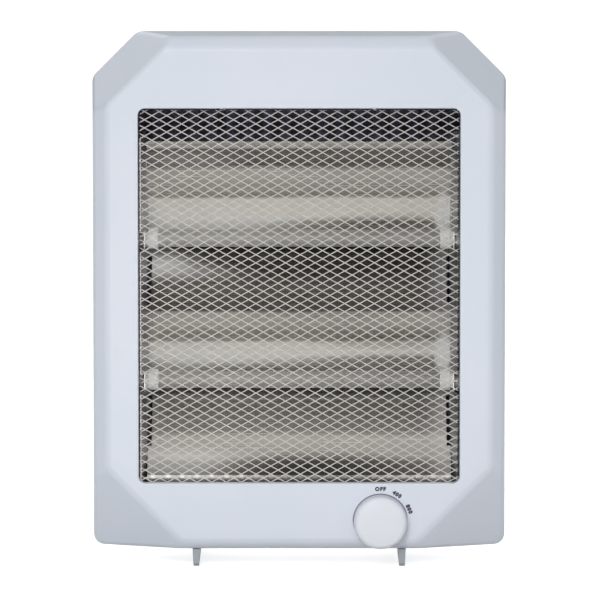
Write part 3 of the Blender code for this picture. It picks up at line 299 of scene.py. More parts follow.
def makeCamera():
    camera = bpy.data.objects.new("camera", bpy.data.cameras.new("camera"))
    shared.objects.link(camera)
    angle = math.radians(viewing["elevation"])
    away = Vector((0, -math.cos(angle), math.sin(angle))) * viewing["distance"]
    aimed(camera, Vector(viewing["lookAt"]) + away, viewing["lookAt"])
    camera.data.sensor_width = viewing["sensor"]
    camera.data.lens = viewing["lens"]
    camera.data.clip_end = viewing["farClip"]
    bpy.context.scene.camera = camera


def makeLamp(name, watts, size, place):
    data = bpy.data.lights.new(name, "AREA")
    data.shape = "SQUARE"
    data.size = size
    data.energy = watts
    data.color = viewing["lampColour"]
    lamp = bpy.data.objects.new(name + "Lamp", data)
    shared.objects.link(lamp)
    aimed(lamp, place, viewing["lampTarget"])


def makeWorld():
    # white for the camera, a dim room for mirrored rays, and a glow from above for all else
    v = viewing
    world = bpy.data.worlds.new("studioRoom")
    bpy.context.scene.world = world
    world.use_nodes = True
    tree = world.node_tree
    tree.nodes.clear()
    height = axisOf(tree, "Z", coordinates(tree, "Generated"))
    white = nodeIn(tree, "ShaderNodeBackground", Color=(1, 1, 1, 1), Strength=1)
    room = nodeIn(tree, "ShaderNodeBackground", Color=v["roomColour"],
                  Strength=spanned(tree, height, 0.0, 0.8, v["roomLow"], v["roomHigh"], True))
    ambient = nodeIn(tree, "ShaderNodeBackground", Color=v["ambientColour"],
                     Strength=spanned(tree, height, -0.1, 0.9, v["ambientLow"], v["ambientHigh"]))
    path = nodeIn(tree, "ShaderNodeLightPath").outputs
    unseen = mixedShader(tree, path["Is Glossy Ray"], ambient, room)
    picked = mixedShader(tree, path["Is Camera Ray"], unseen, white)
    nodeIn(tree, "ShaderNodeOutputWorld", Surface=picked.outputs[0])


def makeFloor():
    # bright where it is seen, straight or mirrored, and dimmer in the light that it throws back
    bm = bmesh.new()
    bmesh.ops.create_grid(bm, x_segments=1, y_segments=1, size=viewing["floorHalf"])
    floor = scratch("studioFloor", bm)
    made, tree, shader = emptyMaterial("studioFloorWhite", viewing["floorShown"], 0.9)
    tree.nodes.remove(shader)
    plain = nodeIn(tree, "ShaderNodeBsdfDiffuse", Color=(*viewing["floorTone"], 1))
    shown = nodeIn(tree, "ShaderNodeBsdfDiffuse", Color=(*viewing["floorShown"], 1))
    glow = nodeIn(tree, "ShaderNodeEmission", Color=(1, 1, 1, 1), Strength=viewing["floorGlow"])
    both = nodeIn(tree, "ShaderNodeAddShader")
    for entry, part in zip(both.inputs, (shown, glow)):
        tree.links.new(part.outputs[0], entry)
    path = nodeIn(tree, "ShaderNodeLightPath").outputs
    seen = arithmetic(tree, "MAXIMUM", path["Is Camera Ray"], path["Is Glossy Ray"])
    seen = arithmetic(tree, "MAXIMUM", seen, path["Is Transmission Ray"])
    picked = mixedShader(tree, seen, plain, both)
    plug(tree, tree.nodes["Material Output"], Surface=picked.outputs[0])
    floor.data.materials.append(made)


bpy.context.scene.view_settings.view_transform = "Standard"
makeCamera()
for lampName, lampValues in viewing["lamps"].items():
    makeLamp(lampName, *lampValues)
makeWorld()
makeFloor()
print("stage: camera, lamps and floor ready")

# grain: fine moulded or sprayed skin, as a height and two tones
grainGroup, start, end = newGroup(
    "surfaceGrain", {"Scale": 1500.0, "Drift Scale": 14.0}, ("Height", "Tone", "Drift"))
place = coordinates(grainGroup)
plug(grainGroup, end,
     Height=noiseOn(grainGroup, place, Scale=start["Scale"], Detail=3.0, Roughness=0.55),
     Tone=noiseOn(grainGroup, place, Scale=160.0, Detail=2.0),
     Drift=noiseOn(grainGroup, place, Scale=start["Drift Scale"], Detail=2.0, Roughness=0.5))

# edge wear: where the surface turns, broken up by noise
wearGroup, start, end = newGroup("edgeWear", {"Radius": 0.0008, "Amount": 0.6}, ("Mask",))
turned = nodeIn(wearGroup, "ShaderNodeBevel", {"samples": 4}, Radius=start["Radius"])
match = nodeIn(wearGroup, "ShaderNodeVectorMath", {"operation": "DOT_PRODUCT"})
fill(wearGroup, match.inputs[0], turned.outputs["Normal"])
fill(wearGroup, match.inputs[1], nodeIn(wearGroup, "ShaderNodeNewGeometry").outputs["Normal"])
spread = spanned(wearGroup, match.outputs["Value"], 0.99, 0.80, 0.0, 1.0)
breaks = noiseOn(wearGroup, coordinates(wearGroup), Scale=220.0, Detail=4.0)
rubbed = arithmetic(wearGroup, "MULTIPLY", spread, spanned(wearGroup, breaks, 0.45, 0.62, 0.15, 1.0))
plug(wearGroup, end, Mask=arithmetic(wearGroup, "MULTIPLY", rubbed, start["Amount"]))

# dust: a thin film on what faces up
dustGroup, start, end = newGroup("restingDust", {"Amount": 0.3}, ("Mask",))
normal = nodeIn(dustGroup, "ShaderNodeNewGeometry").outputs["Normal"]
upward = spanned(dustGroup, axisOf(dustGroup, "Z", normal), 0.55, 1.0, 0.0, 1.0)
patches = noiseOn(dustGroup, coordinates(dustGroup), Scale=60.0, Detail=6.0, Roughness=0.7)
settled = arithmetic(dustGroup, "MULTIPLY", upward, patches)
plug(dustGroup, end, Mask=arithmetic(dustGroup, "MULTIPLY", settled, start["Amount"]))

dustColour = (0.55, 0.53, 0.49)
reliefDepth = 0.0002


def paintLike(name, colour, second, rough, grain=1500.0, bump=0.08, wear=0.35, worn=None,
              dust=0.25, drift=14.0, depth=reliefDepth):
    # plastic or paint: drifting tone, grain, slightly rubbed edges and dust
    made, tree, shader = emptyMaterial(name, colour, rough)
    skin = useGroup(tree, grainGroup, Scale=grain, Drift_Scale=drift)
    tone = mixed(tree, colour, second, remap(tree, skin["Drift"], 0, 1))
    worn = worn or [min(1, part * 1.12) for part in colour]
    edged = mixed(tree, tone, worn, useGroup(tree, wearGroup, Amount=wear)["Mask"])
    dusty = mixed(tree, edged, dustColour, useGroup(tree, dustGroup, Amount=dust)["Mask"])
    relief = nodeIn(tree, "ShaderNodeBump", Strength=bump, Distance=depth, Height=skin["Height"])
    plug(tree, shader, Base_Color=dusty, Roughness=remap(tree, skin["Tone"], rough - 0.06, rough + 0.06),
         Normal=relief.outputs["Normal"])
    return made


def sheetMetal(name, colour, second, rough, grainScale=(40, 900, 900), bump=0.05, roughSpread=0.08,
               patch=70.0):
    # rolled metal: fine lines along X and patches in tone
    made, tree, shader = emptyMaterial(name, colour, rough, 1.0)
    place = coordinates(tree)
    lines = noiseOn(tree, stretched(tree, place, grainScale), Scale=1.0, Detail=4.0, Roughness=0.6)
    patches = noiseOn(tree, place, Scale=patch, Detail=5.0)
    relief = nodeIn(tree, "ShaderNodeBump", Strength=bump, Distance=reliefDepth, Height=lines)
    plug(tree, shader, Base_Color=mixed(tree, colour, second, remap(tree, patches, 0, 1)),
         Roughness=remap(tree, lines, rough - roughSpread, rough + roughSpread),
         Normal=relief.outputs["Normal"])
    return made


# material name, two tones, roughness, and what differs from the usual
paints = {
    "bezel": ("bezelPlastic", (0.665, 0.718, 0.800), (0.690, 0.725, 0.812), 0.40, {}),
    "knob": ("knobPlastic", (0.725, 0.760, 0.820), (0.740, 0.770, 0.830), 0.34, {"bump": 0.04}),
    "foot": ("footPlastic", (0.345, 0.385, 0.420), (0.370, 0.405, 0.435), 0.46, {"dust": 0.1}),
    "handle": ("handlePlastic", (0.620, 0.660, 0.720), (0.650, 0.680, 0.740), 0.45,
               {"grain": 1100.0, "bump": 0.15}),
    "case": ("caseEnamel", (0.640, 0.675, 0.730), (0.665, 0.690, 0.745), 0.42,
             {"grain": 420.0, "bump": 0.22, "wear": 0.8, "worn": (0.42, 0.43, 0.44), "depth": 0.0001}),
    # painted shade: a dark bluish tone that stands for the shade inside the case
    "inside": ("insideShadeTone", (0.165, 0.160, 0.270), (0.200, 0.190, 0.300), 0.55,
               {"grain": 420.0, "bump": 0.2, "wear": 0.0, "dust": 0.1, "drift": 60.0}),
    "guard": ("guardEnamel", (0.470, 0.455, 0.430), (0.535, 0.520, 0.490), 0.38,
              {"grain": 900.0, "bump": 0.10, "wear": 0.5, "worn": (0.58, 0.56, 0.53), "dust": 0.12}),
    "dark": ("darkThermoset", (0.045, 0.045, 0.050), (0.060, 0.058, 0.060), 0.48, {"bump": 0.12}),
    "rubber": ("glandRubber", (0.026, 0.026, 0.028), (0.036, 0.036, 0.037), 0.72,
               {"bump": 0.25, "wear": 0.2, "worn": (0.09, 0.09, 0.09)}),
    "ceramic": ("capCeramic", (0.900, 0.890, 0.850), (0.930, 0.920, 0.895), 0.58,
                {"grain": 700.0, "bump": 0.30, "wear": 0.4, "worn": (0.9, 0.9, 0.88), "drift": 90.0}),
    "ink": ("dialInk", (0.010, 0.011, 0.020), (0.018, 0.018, 0.030), 0.5, {"wear": 0.0, "dust": 0.0}),
    # painted shadow: the dark line round the knob's base
    "knobShadowLine": ("knobShadowLine", (0.150, 0.150, 0.220), (0.190, 0.190, 0.260), 0.5, {"wear": 0.0, "dust": 0.0}),
}
metals = {
    # painted shade: a near-black edge that stands for the dark gap at the end plate's front
    "plateGapShade": ("plateGapShade", (0.050, 0.048, 0.046), (0.085, 0.080, 0.075), 0.6, {}),
    "steel": ("zincSheet", (0.560, 0.565, 0.570), (0.680, 0.685, 0.690), 0.38, {}),
    "plate": ("plateZinc", (0.380, 0.385, 0.400), (0.500, 0.505, 0.515), 0.42, {}),
    "screw": ("screwNickel", (0.550, 0.550, 0.560), (0.640, 0.640, 0.640), 0.30,
              {"grainScale": (500, 500, 500), "patch": 400.0}),
    "coil": ("coilWire", (0.300, 0.280, 0.260), (0.420, 0.380, 0.330), 0.42,
             {"grainScale": (700, 700, 700), "patch": 300.0}),
}
looks = {}
for makeLook, table in ((paintLike, paints), (sheetMetal, metals)):
    for look, (*values, special) in table.items():
        looks[look] = makeLook(*values, **special)


def shaderOf(look):
    tree = look.node_tree
    return tree, tree.nodes["Principled BSDF"]


def dimmed(look, mask):
    # the base colour so far, times a mask
    tree, shader = shaderOf(look)
    colour = shader.inputs["Base Color"].links[0].from_socket
    plug(tree, shader, Base_Color=mixed(tree, colour, mask, 1.0, blend_type="MULTIPLY"))


def edgeShaded(look, sideX, topZ, soft, least):
    # the paint goes dark close to the sides and the top of the window, where the bezel shades the sheet
    tree = look.node_tree
    across = arithmetic(tree, "ABSOLUTE", axisOf(tree, "X"))
    shades = [
        spanned(tree, value, limit - soft, limit + soft, 1.0, least, True)
        for value, limit in ((across, sideX), (axisOf(tree, "Z"), topZ))]
    dimmed(look, arithmetic(tree, "MINIMUM", *shades))


def streaked(look, period, least):
    # upright streaks of light that fall in through the top slots
    tree = look.node_tree
    wave = arithmetic(tree, "SINE", arithmetic(tree, "MULTIPLY", axisOf(tree, "X"), 2 * math.pi / period))
    dimmed(look, spanned(tree, wave, -0.6, 0.6, least, 1.0, True))


streaked(looks["inside"], 13 * mm, 0.45)
edgeShaded(looks["guard"], 111.1 * mm, 320.5 * mm, 0.5 * mm, 0.12)

# heights in mm where the reflector's painted reflections and shade change: tone of the metal, how dull it is,
# how warm
paintedReflectionBands = (
    (58, 0.46, 0.0, 0.3), (66, 0.50, 0.0, 0.3), (71, 0.60, 0.1, 0.3), (75, 0.92, 0.4, 0.4),
    (87, 1.00, 0.5, 0.4), (93, 0.62, 0.15, 0.4), (110, 0.52, 0.0, 0.3), (116, 0.26, 0.0, -0.2),
    (121, 0.20, 0.0, -0.2), (124, 0.55, 0.1, 0.3), (141, 0.72, 0.3, 0.4), (145, 1.00, 1.0, 0.4),
    (153, 1.00, 1.0, 0.4), (156, 0.68, 0.25, 0.4), (172, 0.58, 0.12, 0.4), (177, 0.58, 0.12, 0.4),
    (178, 0.27, 0.0, 0.6), (196, 0.28, 0.0, 0.6), (212, 0.17, 0.0, 0.3), (221, 0.11, 0.0, 0.3),
    (224, 0.52, 0.1, 0.2), (238, 0.72, 0.3, 0.4), (242, 1.00, 1.0, 0.5), (255, 1.00, 1.0, 0.5),
    (258, 0.62, 0.2, 0.5), (272, 0.72, 0.36, 0.4), (277, 0.72, 0.36, 0.4), (280, 0.22, 0.0, 0.4),
    (291, 0.28, 0.0, 0.4), (293, 0.22, 0.0, 0.4), (298, 0.22, 0.0, 0.4))
# painted reflections and shade, as soft patches on it: middle x and z, half width and half height in mm, tone
# added
paintedReflectionPatches = (
    (-106, 211, 46, 13, 0.50), (-92, 205, 58, 11, 0.38), (-70, 202, 62, 8, 0.20), (-78, 284, 50, 9, 0.20),
    (-75, 238, 115, 13, 0.78), (-62, 143, 125, 11, 0.72), (-85, 70, 75, 15, 0.50), (15, 66, 92, 14, -0.65),
    (102, 66, 16, 13, 0.35), (-95, 130, 60, 9, 0.30), (102, 243, 8, 22, 1.30), (102, 145, 8, 20, 1.30),
    (106, 200, 22, 60, 0.30), (106, 105, 22, 45, 0.32), (62, 154, 70, 8, -0.22), (70, 240, 60, 7, -0.18),
    (-70, 250, 70, 9, 0.15))
metalFinish = {
    "rippleScale": (9, 30, 30), "rippleDrift": 0.004, "rippleMiddle": 2, "rippleDepth": 0.001,
    "warmRed": 0.07, "warmBlue": 0.09, "patchHighlightWhite": (0.93, 0.93, 0.92), "patchSoft": 0.8, "endless": 1000,
}


def softPatch(tree, place, patch):
    # a soft ellipse in X and Z, fullest in its middle
    x, z, halfWidth, halfHeight, tone = patch
    move = nodeIn(
        tree, "ShaderNodeMapping", {"vector_type": "TEXTURE"}, Vector=place, Location=(x * mm, 0, z * mm),
        Scale=(halfWidth * mm, metalFinish["endless"], halfHeight * mm))
    ball = nodeIn(
        tree, "ShaderNodeTexGradient", {"gradient_type": "SPHERICAL"}, Vector=move.outputs["Vector"])
    return spanned(tree, ball.outputs["Fac"], 0.0, metalFinish["patchSoft"], 0.0, tone, True)


def bandRamp(tree, height, colours):
    low, high = paintedReflectionBands[0][0], paintedReflectionBands[-1][0]
    ramp = nodeIn(tree, "ShaderNodeValToRGB")
    stops = ramp.color_ramp.elements
    while len(stops) < len(paintedReflectionBands):
        stops.new(0.5)
    for stop, band, colour in zip(stops, paintedReflectionBands, colours):
        stop.position = (band[0] - low) / (high - low)
        stop.color = (*colour, 1)
    plug(tree, ramp, Fac=height)
    return ramp.outputs["Color"]


def reflectorMetal():
    # bright rolled aluminium with slow ripples, with painted reflections and shade in bands by height and in
    # soft patches
    f = metalFinish
    made = sheetMetal(
        "reflectorAluminium", (0.860, 0.850, 0.830), (0.920, 0.905, 0.880), 0.24,
        grainScale=(18, 1200, 1200), bump=0.02, roughSpread=0.05, patch=22.0)
    tree, shader = shaderOf(made)
    place = coordinates(tree)
    ripple = noiseOn(tree, stretched(tree, place, f["rippleScale"]), Scale=1.0, Detail=1.5)
    slow = nodeIn(tree, "ShaderNodeBump", Strength=0.25, Distance=f["rippleDepth"], Height=ripple)
    plug(tree, shader.inputs["Normal"].links[0].from_node, Normal=slow.outputs["Normal"])
    drift = arithmetic(tree, "MULTIPLY_ADD", ripple, f["rippleDrift"], axisOf(tree, "Z"))
    low, high = ((paintedReflectionBands[end][0] + f["rippleMiddle"]) * mm for end in (0, -1))
    height = spanned(tree, drift, low, high, 0.0, 1.0)
    # painted reflections and shade: the bands tint the metal lighter or darker by height
    tints = [
        (tone * (1 + f["warmRed"] * warm), tone, tone * (1 - f["warmBlue"] * warm))
        for level, tone, matt, warm in paintedReflectionBands]
    dimmed(made, bandRamp(tree, height, tints))
    # painted reflections and shade: the patches lift the metal towards a pale, less metallic tone or darken
    # it
    lift = 0.0
    for patch in paintedReflectionPatches:
        lift = arithmetic(tree, "ADD", lift, softPatch(tree, place, patch))
    shade = shader.inputs["Base Color"].links[0].from_socket
    plug(tree, shader, Base_Color=mixed(tree, shade, f["patchHighlightWhite"], lift, clamp_result=True))
    dimmed(made, arithmetic(tree, "MINIMUM", arithmetic(tree, "ADD", 1.0, lift), 1.0))
    dull = bandRamp(tree, height, [(band[2],) * 3 for band in paintedReflectionBands])
    matt = arithmetic(tree, "ADD", dull, lift, clamp=True)
    plug(tree, shader, Metallic=arithmetic(tree, "SUBTRACT", 1.0, matt))
    return made


def quartzGlass():
    # frosted fused quartz: mostly clear body and milky skin, with painted shade darkening it towards the
    # right end
    made, tree, shader = emptyMaterial("frostedQuartz", (0.90, 0.89, 0.85), 0.38)
    skin = useGroup(tree, grainGroup, Scale=900.0, Drift_Scale=40.0)
    relief = nodeIn(tree, "ShaderNodeBump", Strength=0.10, Distance=reliefDepth, Height=skin["Height"])
    tone = mixed(tree, (0.66, 0.645, 0.61), (0.76, 0.745, 0.71), remap(tree, skin["Drift"], 0, 1))
    plug(tree, shader, IOR=1.46, Transmission_Weight=0.45, Base_Color=tone,
         Roughness=remap(tree, skin["Tone"], 0.30, 0.46), Normal=relief.outputs["Normal"])
    # painted shade: darker towards the right, as the light falls from the left
    dimmed(made, spanned(tree, axisOf(tree, "X"), -100 * mm, 60 * mm, 1.0, 0.74))
    return made


looks["reflector"] = reflectorMetal()
looks["quartz"] = quartzGlass()
print("stage: materials ready")

# front bezel
bezel = {
    "faceY": -52 * mm, "rearY": -6 * mm, "halfWidth": 145.5 * mm, "bottom": 11 * mm, "top": 374 * mm,
    "faceHalf": 134 * mm, "faceTop": 364.4 * mm, "faceBottom": 18.3 * mm, "wall": 2.6 * mm,
    "draft": math.radians(2.5), "bandSlope": math.radians(42), "topCornerRim": 32.1 * mm,
    "topCornerFace": 39.3 * mm, "bottomCornerFace": 51.8 * mm, "facetReach": 40 * mm, "trim": 5 * mm,
    "rounding": 4.2 * mm, "windowHalf": 112.3 * mm, "windowLow": 59.6 * mm, "windowHigh": 322.2 * mm,
    "windowRadius": 4.8 * mm, "collarWall": 2.4 * mm, "collarDepth": 8 * mm, "lipRounding": 0.9 * mm,
    "lipSteps": 4, "innerEase": 0.6 * mm, "shaftX": 56.9 * mm, "shaftZ": 32.9 * mm, "shaftHole": 5.1 * mm,
    "shaftHoleFront": 4 * mm, "shaftHoleBack": 8 * mm,
}


def evenNormals(piece):
    weighted = piece.modifiers.new("evenNormals", "WEIGHTED_NORMAL")
    weighted.keep_sharp = True


def bezelPlanes(inset, rearY):
    # the planes of the whole shell, moved inward by a wall or by nothing
    b = bezel
    planes = [
        (Vector((0, b["faceY"] + inset, 0)), Vector((0, -1, 0))),
        (Vector((0, rearY, 0)), Vector((0, 1, 0)))]
    walls = [((s * b["halfWidth"], 0), (s, 0)) for s in (-1, 1)]
    walls += [((0, b["top"]), (0, 1)), ((0, b["bottom"]), (0, -1))]
    for point, side in walls:
        across = math.cos(b["draft"])
        normal = Vector((side[0] * across, -math.sin(b["draft"]), side[1] * across))
        planes.append((Vector((point[0], b["rearY"], point[1])) - normal * inset, normal))
    bands = [((s * b["faceHalf"], 0), (s, 0)) for s in (-1, 1)]
    bands += [((0, b["faceTop"]), (0, 1)), ((0, b["faceBottom"]), (0, -1))]
    for point, side in bands:
        tilt = b["bandSlope"]
        normal = Vector((side[0] * math.sin(tilt), -math.cos(tilt), side[1] * math.sin(tilt)))
        planes.append((Vector((point[0], b["faceY"], point[1])) - normal * inset, normal))
    half = math.sqrt(0.5)
    for s in (-1, 1):
        up = Vector((s * half, 0, half))
        rim = Vector((s * b["halfWidth"], b["rearY"], b["top"] - b["topCornerRim"]))
        face = Vector((s * b["faceHalf"], b["faceY"], b["faceTop"] - b["topCornerFace"]))
        lean = math.atan2((rim - face).dot(up), b["rearY"] - b["faceY"])
        normal = up * math.cos(lean) + Vector((0, -math.sin(lean), 0))
        planes.append((rim - normal * inset, normal))
        down = Vector((s * half, 0, -half))
        corner = Vector((s * b["halfWidth"], b["faceY"] + b["facetReach"], b["bottom"]))
        edge = Vector((s * b["faceHalf"], b["faceY"], b["faceBottom"] + b["bottomCornerFace"]))
        lean = math.atan2((corner - edge).dot(down), b["facetReach"])
        normal = down * math.cos(lean) + Vector((0, -math.sin(lean), 0))
        planes.append((corner - normal * inset, normal))
        trimmed = Vector((s * (b["halfWidth"] - b["trim"]), 0, b["bottom"]))
        planes.append((trimmed - down * inset, down))
    return planes


def makeBezel():
    b = bezel
    width, height = 2 * b["windowHalf"], b["windowHigh"] - b["windowLow"]
    middle = (0, (b["windowHigh"] + b["windowLow"]) / 2)

    def facesBack(edge):
        return all(vert.co.y > b["rearY"] - 1e-5 for vert in edge.verts)

    outside = halfSpaces(bezelPlanes(0, b["rearY"]))
    edgeBevel(outside, b["rounding"], 7, 8, facesBack)
    inside = halfSpaces(bezelPlanes(b["wall"], b["rearY"] + b["wall"]))
    edgeBevel(inside, b["rounding"] - b["wall"] + b["innerEase"], 2, 8)
    collar = roundedPlate(
        width + 2 * b["collarWall"], height + 2 * b["collarWall"], b["windowRadius"] + b["collarWall"],
        b["faceY"], b["faceY"] + b["collarDepth"], middle)
    hollow = carved(inside, [collar])
    opening = roundedPlate(
        width, height, b["windowRadius"], b["faceY"], b["faceY"] + 2 * b["collarDepth"], middle)
    lip = b["lipRounding"]
    for vert in opening.verts:
        vert.co.y = max(vert.co.y, b["faceY"] + lip)
    front = [face for face in opening.faces if face.normal.y < -0.99]
    for step in range(b["lipSteps"]):  # the opening flares out to the face over a quarter round
        before, angle = (math.radians(90 * part / b["lipSteps"]) for part in (step, step + 1))
        grown = bmesh.ops.extrude_face_region(opening, geom=front)["geom"]
        bmesh.ops.delete(opening, geom=front, context="FACES")
        front = [item for item in grown if isinstance(item, bmesh.types.BMFace)]
        out = lip * (math.cos(before) - math.cos(angle))
        for vert in newVerts(grown):
            vert.co.x += math.copysign(out, vert.co.x - middle[0])
            vert.co.z += math.copysign(out, vert.co.z - middle[1])
            vert.co.y = b["faceY"] + lip * (1 - math.sin(angle))
    grown = bmesh.ops.extrude_face_region(opening, geom=front)["geom"]
    bmesh.ops.delete(opening, geom=front, context="FACES")
    bmesh.ops.translate(opening, vec=(0, -b["wall"], 0), verts=newVerts(grown))
    clean(opening)
    hole, front, back = b["shaftHole"], -b["shaftHoleFront"], b["shaftHoleBack"]
    bush = spun([(0, front), (hole, front), (hole, back), (0, back)], 32,
                (b["shaftX"], b["faceY"], b["shaftZ"]), "Y")
    shell = carved(outside, [hollow, opening, bush])
    evenNormals(asPiece(
        "bezelShell", shell, looks["bezel"], 30, replaced=["front_bezel"]))


makeBezel()
print("stage: bezel ready")

# expanded metal guard
guard = {
    "diamondWidth": 10.35 * mm, "diamondHeight": 5.72 * mm, "strand": 0.64 * mm, "tilt": 0.28 * mm,
    "sheet": 0.5 * mm, "y": -42.9 * mm, "halfWidth": 113.0 * mm, "low": 58.9 * mm, "high": 322.9 * mm,
    "margin": 4.0 * mm, "shift": 0.8 * mm, "marginHalf": 0.7 * mm, "marginRadius": 6 * mm,
    "holeRadius": 4 * mm, "holeHalf": 5 * mm, "overlap": 0.6 * mm,
}


def makeGuard():
    g = guard
    across, up = g["diamondWidth"], g["diamondHeight"]
    middleZ = (g["low"] + g["high"]) / 2
    count = int(2 * max(g["halfWidth"] / across, (g["high"] - g["low"]) / up)) + 6
    bm = bmesh.new()
    bmesh.ops.create_grid(bm, x_segments=count, y_segments=count, size=count / 2)
    # one grid square becomes one diamond
    turn = Matrix((
        (across / 2, across / 2, 0, g["shift"]), (0, 0, 0, g["y"]),
        (-up / 2, up / 2, 0, middleZ), (0, 0, 0, 1)))
    bmesh.ops.transform(bm, matrix=turn, verts=bm.verts)
    outside = [
        face for face in bm.faces
        if abs(face.calc_center_median().x) > g["halfWidth"] + across
        or abs(face.calc_center_median().z - middleZ) > (g["high"] - g["low"]) / 2 + up]
    bmesh.ops.delete(bm, geom=outside, context="FACES")
    holes = bm.faces[:]
    bmesh.ops.inset_individual(bm, faces=holes, thickness=g["strand"] / 2, use_even_offset=True)
    for face in holes:  # the strands lean: lower edge forward, upper edge back
        middle = face.calc_center_median()
        for vert in face.verts:
            rise = (vert.co.z - middle.z) / (up / 2)
            vert.co.y -= g["tilt"] * rise
    bmesh.ops.delete(bm, geom=holes, context="FACES_ONLY")
    for point, normal in (((g["halfWidth"], 0, 0), (1, 0, 0)), ((-g["halfWidth"], 0, 0), (-1, 0, 0)),
                          ((0, 0, g["low"]), (0, 0, -1)), ((0, 0, g["high"]), (0, 0, 1))):
        bmesh.ops.bisect_plane(
            bm, geom=bm.verts[:] + bm.edges[:] + bm.faces[:], dist=1e-7, plane_co=point, plane_no=normal,
            clear_outer=True)
    bmesh.ops.remove_doubles(bm, verts=bm.verts, dist=1e-6)
    for face in bm.faces:
        if face.normal.y > 0:
            face.normal_flip()
    bmesh.ops.translate(bm, vec=(0, -g["sheet"] / 2, 0), verts=bm.verts)
    bmesh.ops.solidify(bm, geom=bm.faces[:], thickness=g["sheet"])
    asPiece("guardLattice", bm, looks["guard"], 40, replaced=["guard_mesh"])
    # the uncut margin round the lattice
    plates = []
    for grow, radius, half in ((2 * g["margin"], g["marginRadius"], g["marginHalf"]),
                               (-g["overlap"], g["holeRadius"], g["holeHalf"])):
        plates.append(roundedPlate(
            2 * g["halfWidth"] + grow, g["high"] - g["low"] + grow, radius,
            g["y"] - half, g["y"] + half, (0, middleZ), 4))
    asPiece("guardMargin", carved(plates[0], plates[1:]), looks["guard"], 35)


makeGuard()
print("stage: guard ready")

# reflector
reflector = {
    "tubeZ": 178 * mm, "pitch": 100 * mm, "troughY": 9 * mm, "focal": 17 * mm, "curvedHalf": 28 * mm,
    "halfHeight": 115 * mm, "lip": 5 * mm, "sheet": 0.8 * mm, "halfLength": 106.7 * mm, "relief": 2.7 * mm,
    "reliefDrop": 13 * mm, "reliefMargin": 4 * mm, "curveSteps": 40,
}


def reflectorDepth(z):
    r = reflector
    away = abs(abs(z - r["tubeZ"]) - r["pitch"] / 2)
    curved = min(away, r["curvedHalf"])
    slope = r["curvedHalf"] / (2 * r["focal"])
    return r["troughY"] - curved ** 2 / (4 * r["focal"]) - slope * (away - curved)


def makeReflector():
    r = reflector
    half = r["pitch"] / 2
    rows = [-r["halfHeight"], 0, r["halfHeight"]]
    gaps = []
    for sign in (-1, 1):
        steps = r["curveSteps"]
        rows += [sign * half + r["curvedHalf"] * (2 * step / steps - 1) for step in range(steps + 1)]
        gaps.append((sign * half - half + r["reliefMargin"], sign * half - r["reliefDrop"]))
        rows += gaps[-1]
    rows = sorted(rows)
    reach = r["halfLength"]
    columns = [-reach, r["relief"] - reach, reach - r["relief"], reach]
    bm = bmesh.new()
    bmesh.ops.create_grid(bm, x_segments=len(columns) - 1, y_segments=len(rows) - 1, size=1)
    for vert in bm.verts:
        x = columns[round((vert.co.x + 1) / 2 * (len(columns) - 1))]
        z = r["tubeZ"] + rows[round((vert.co.y + 1) / 2 * (len(rows) - 1))]
        vert.co = (x, reflectorDepth(z), z)
    cut = [
        face for face in bm.faces
        if abs(face.calc_center_median().x) > columns[2]
        and any(low < face.calc_center_median().z - r["tubeZ"] < high for low, high in gaps)]
    bmesh.ops.delete(bm, geom=cut, context="FACES")
    for sign in (-1, 1):  # the lips at top and bottom stand upright
        end = r["tubeZ"] + sign * r["halfHeight"]
        rim = [
            edge for edge in bm.edges
            if edge.is_boundary and all(abs(vert.co.z - end) < 1e-6 for vert in edge.verts)]
        grown = bmesh.ops.extrude_edge_only(bm, edges=rim)["geom"]
        bmesh.ops.translate(bm, vec=(0, 0, sign * r["lip"]), verts=newVerts(grown))
    bmesh.ops.recalc_face_normals(bm, faces=bm.faces)
    if sum(face.normal.y for face in bm.faces) > 0:
        bmesh.ops.reverse_faces(bm, faces=bm.faces)
    bmesh.ops.solidify(bm, geom=bm.faces[:], thickness=r["sheet"])
    asPiece("reflectorTrough", bm, looks["reflector"], 30, replaced=["reflector"])


makeReflector()
print("stage: reflector ready")

# quartz tubes, coils and ceramic caps
element = {
    "y": -8 * mm, "radius": 6 * mm, "wall": 1.2 * mm, "endX": 104.9 * mm, "coilRadius": 3.4 * mm,
    "coilWire": 0.36 * mm, "turns": 74, "heights": {"upper": 228 * mm, "lower": 128 * mm},
    "capRadius": 7.4 * mm, "neckRadius": 6.2 * mm, "capStart": 99.2 * mm, "neckStart": 106.7 * mm,
    "neckEnd": 109.4 * mm, "capEnd": 119.4 * mm, "leadBore": 1.1 * mm, "coilHalf": 89 * mm, "lead": 5 * mm,
    "turnSteps": 12, "tubeSoft": 0.35 * mm, "socketGap": 0.3 * mm, "socketDepth": 6 * mm, "chamfer": 0.4 * mm,
    "frontRound": 0.9 * mm, "neckRound": 0.5 * mm, "endRound": 1.2 * mm,
}


def makeCoil(name, z, replaced):
    e = element
    curve = bpy.data.curves.new(name, "CURVE")
    curve.dimensions = "3D"
    curve.bevel_depth = e["coilWire"]
    curve.bevel_resolution = 1
    curve.use_fill_caps = True
    half, lead, steps = e["coilHalf"], e["lead"], e["turns"] * e["turnSteps"]
    points = [(-e["capEnd"] - lead, 0, 0), (-half - lead, 0, 0)]
    for step in range(steps + 1):
        angle = 2 * math.pi * step / e["turnSteps"]
        x = half * (2 * step / steps - 1)
        points.append((x, e["coilRadius"] * math.cos(angle), e["coilRadius"] * math.sin(angle)))
    points += [(half + lead, 0, 0), (e["capEnd"] + lead, 0, 0)]
    spline = curve.splines.new("POLY")
    spline.points.add(len(points) - 1)
    for target, (x, y, height) in zip(spline.points, points):
        target.co = (x, y + e["y"], height + z, 1)
    holder = bpy.data.objects.new(name + "Line", curve)
    shared.objects.link(holder)
    asPiece(name, clean(finalMesh(holder)), looks["coil"], 60, replaced=replaced)


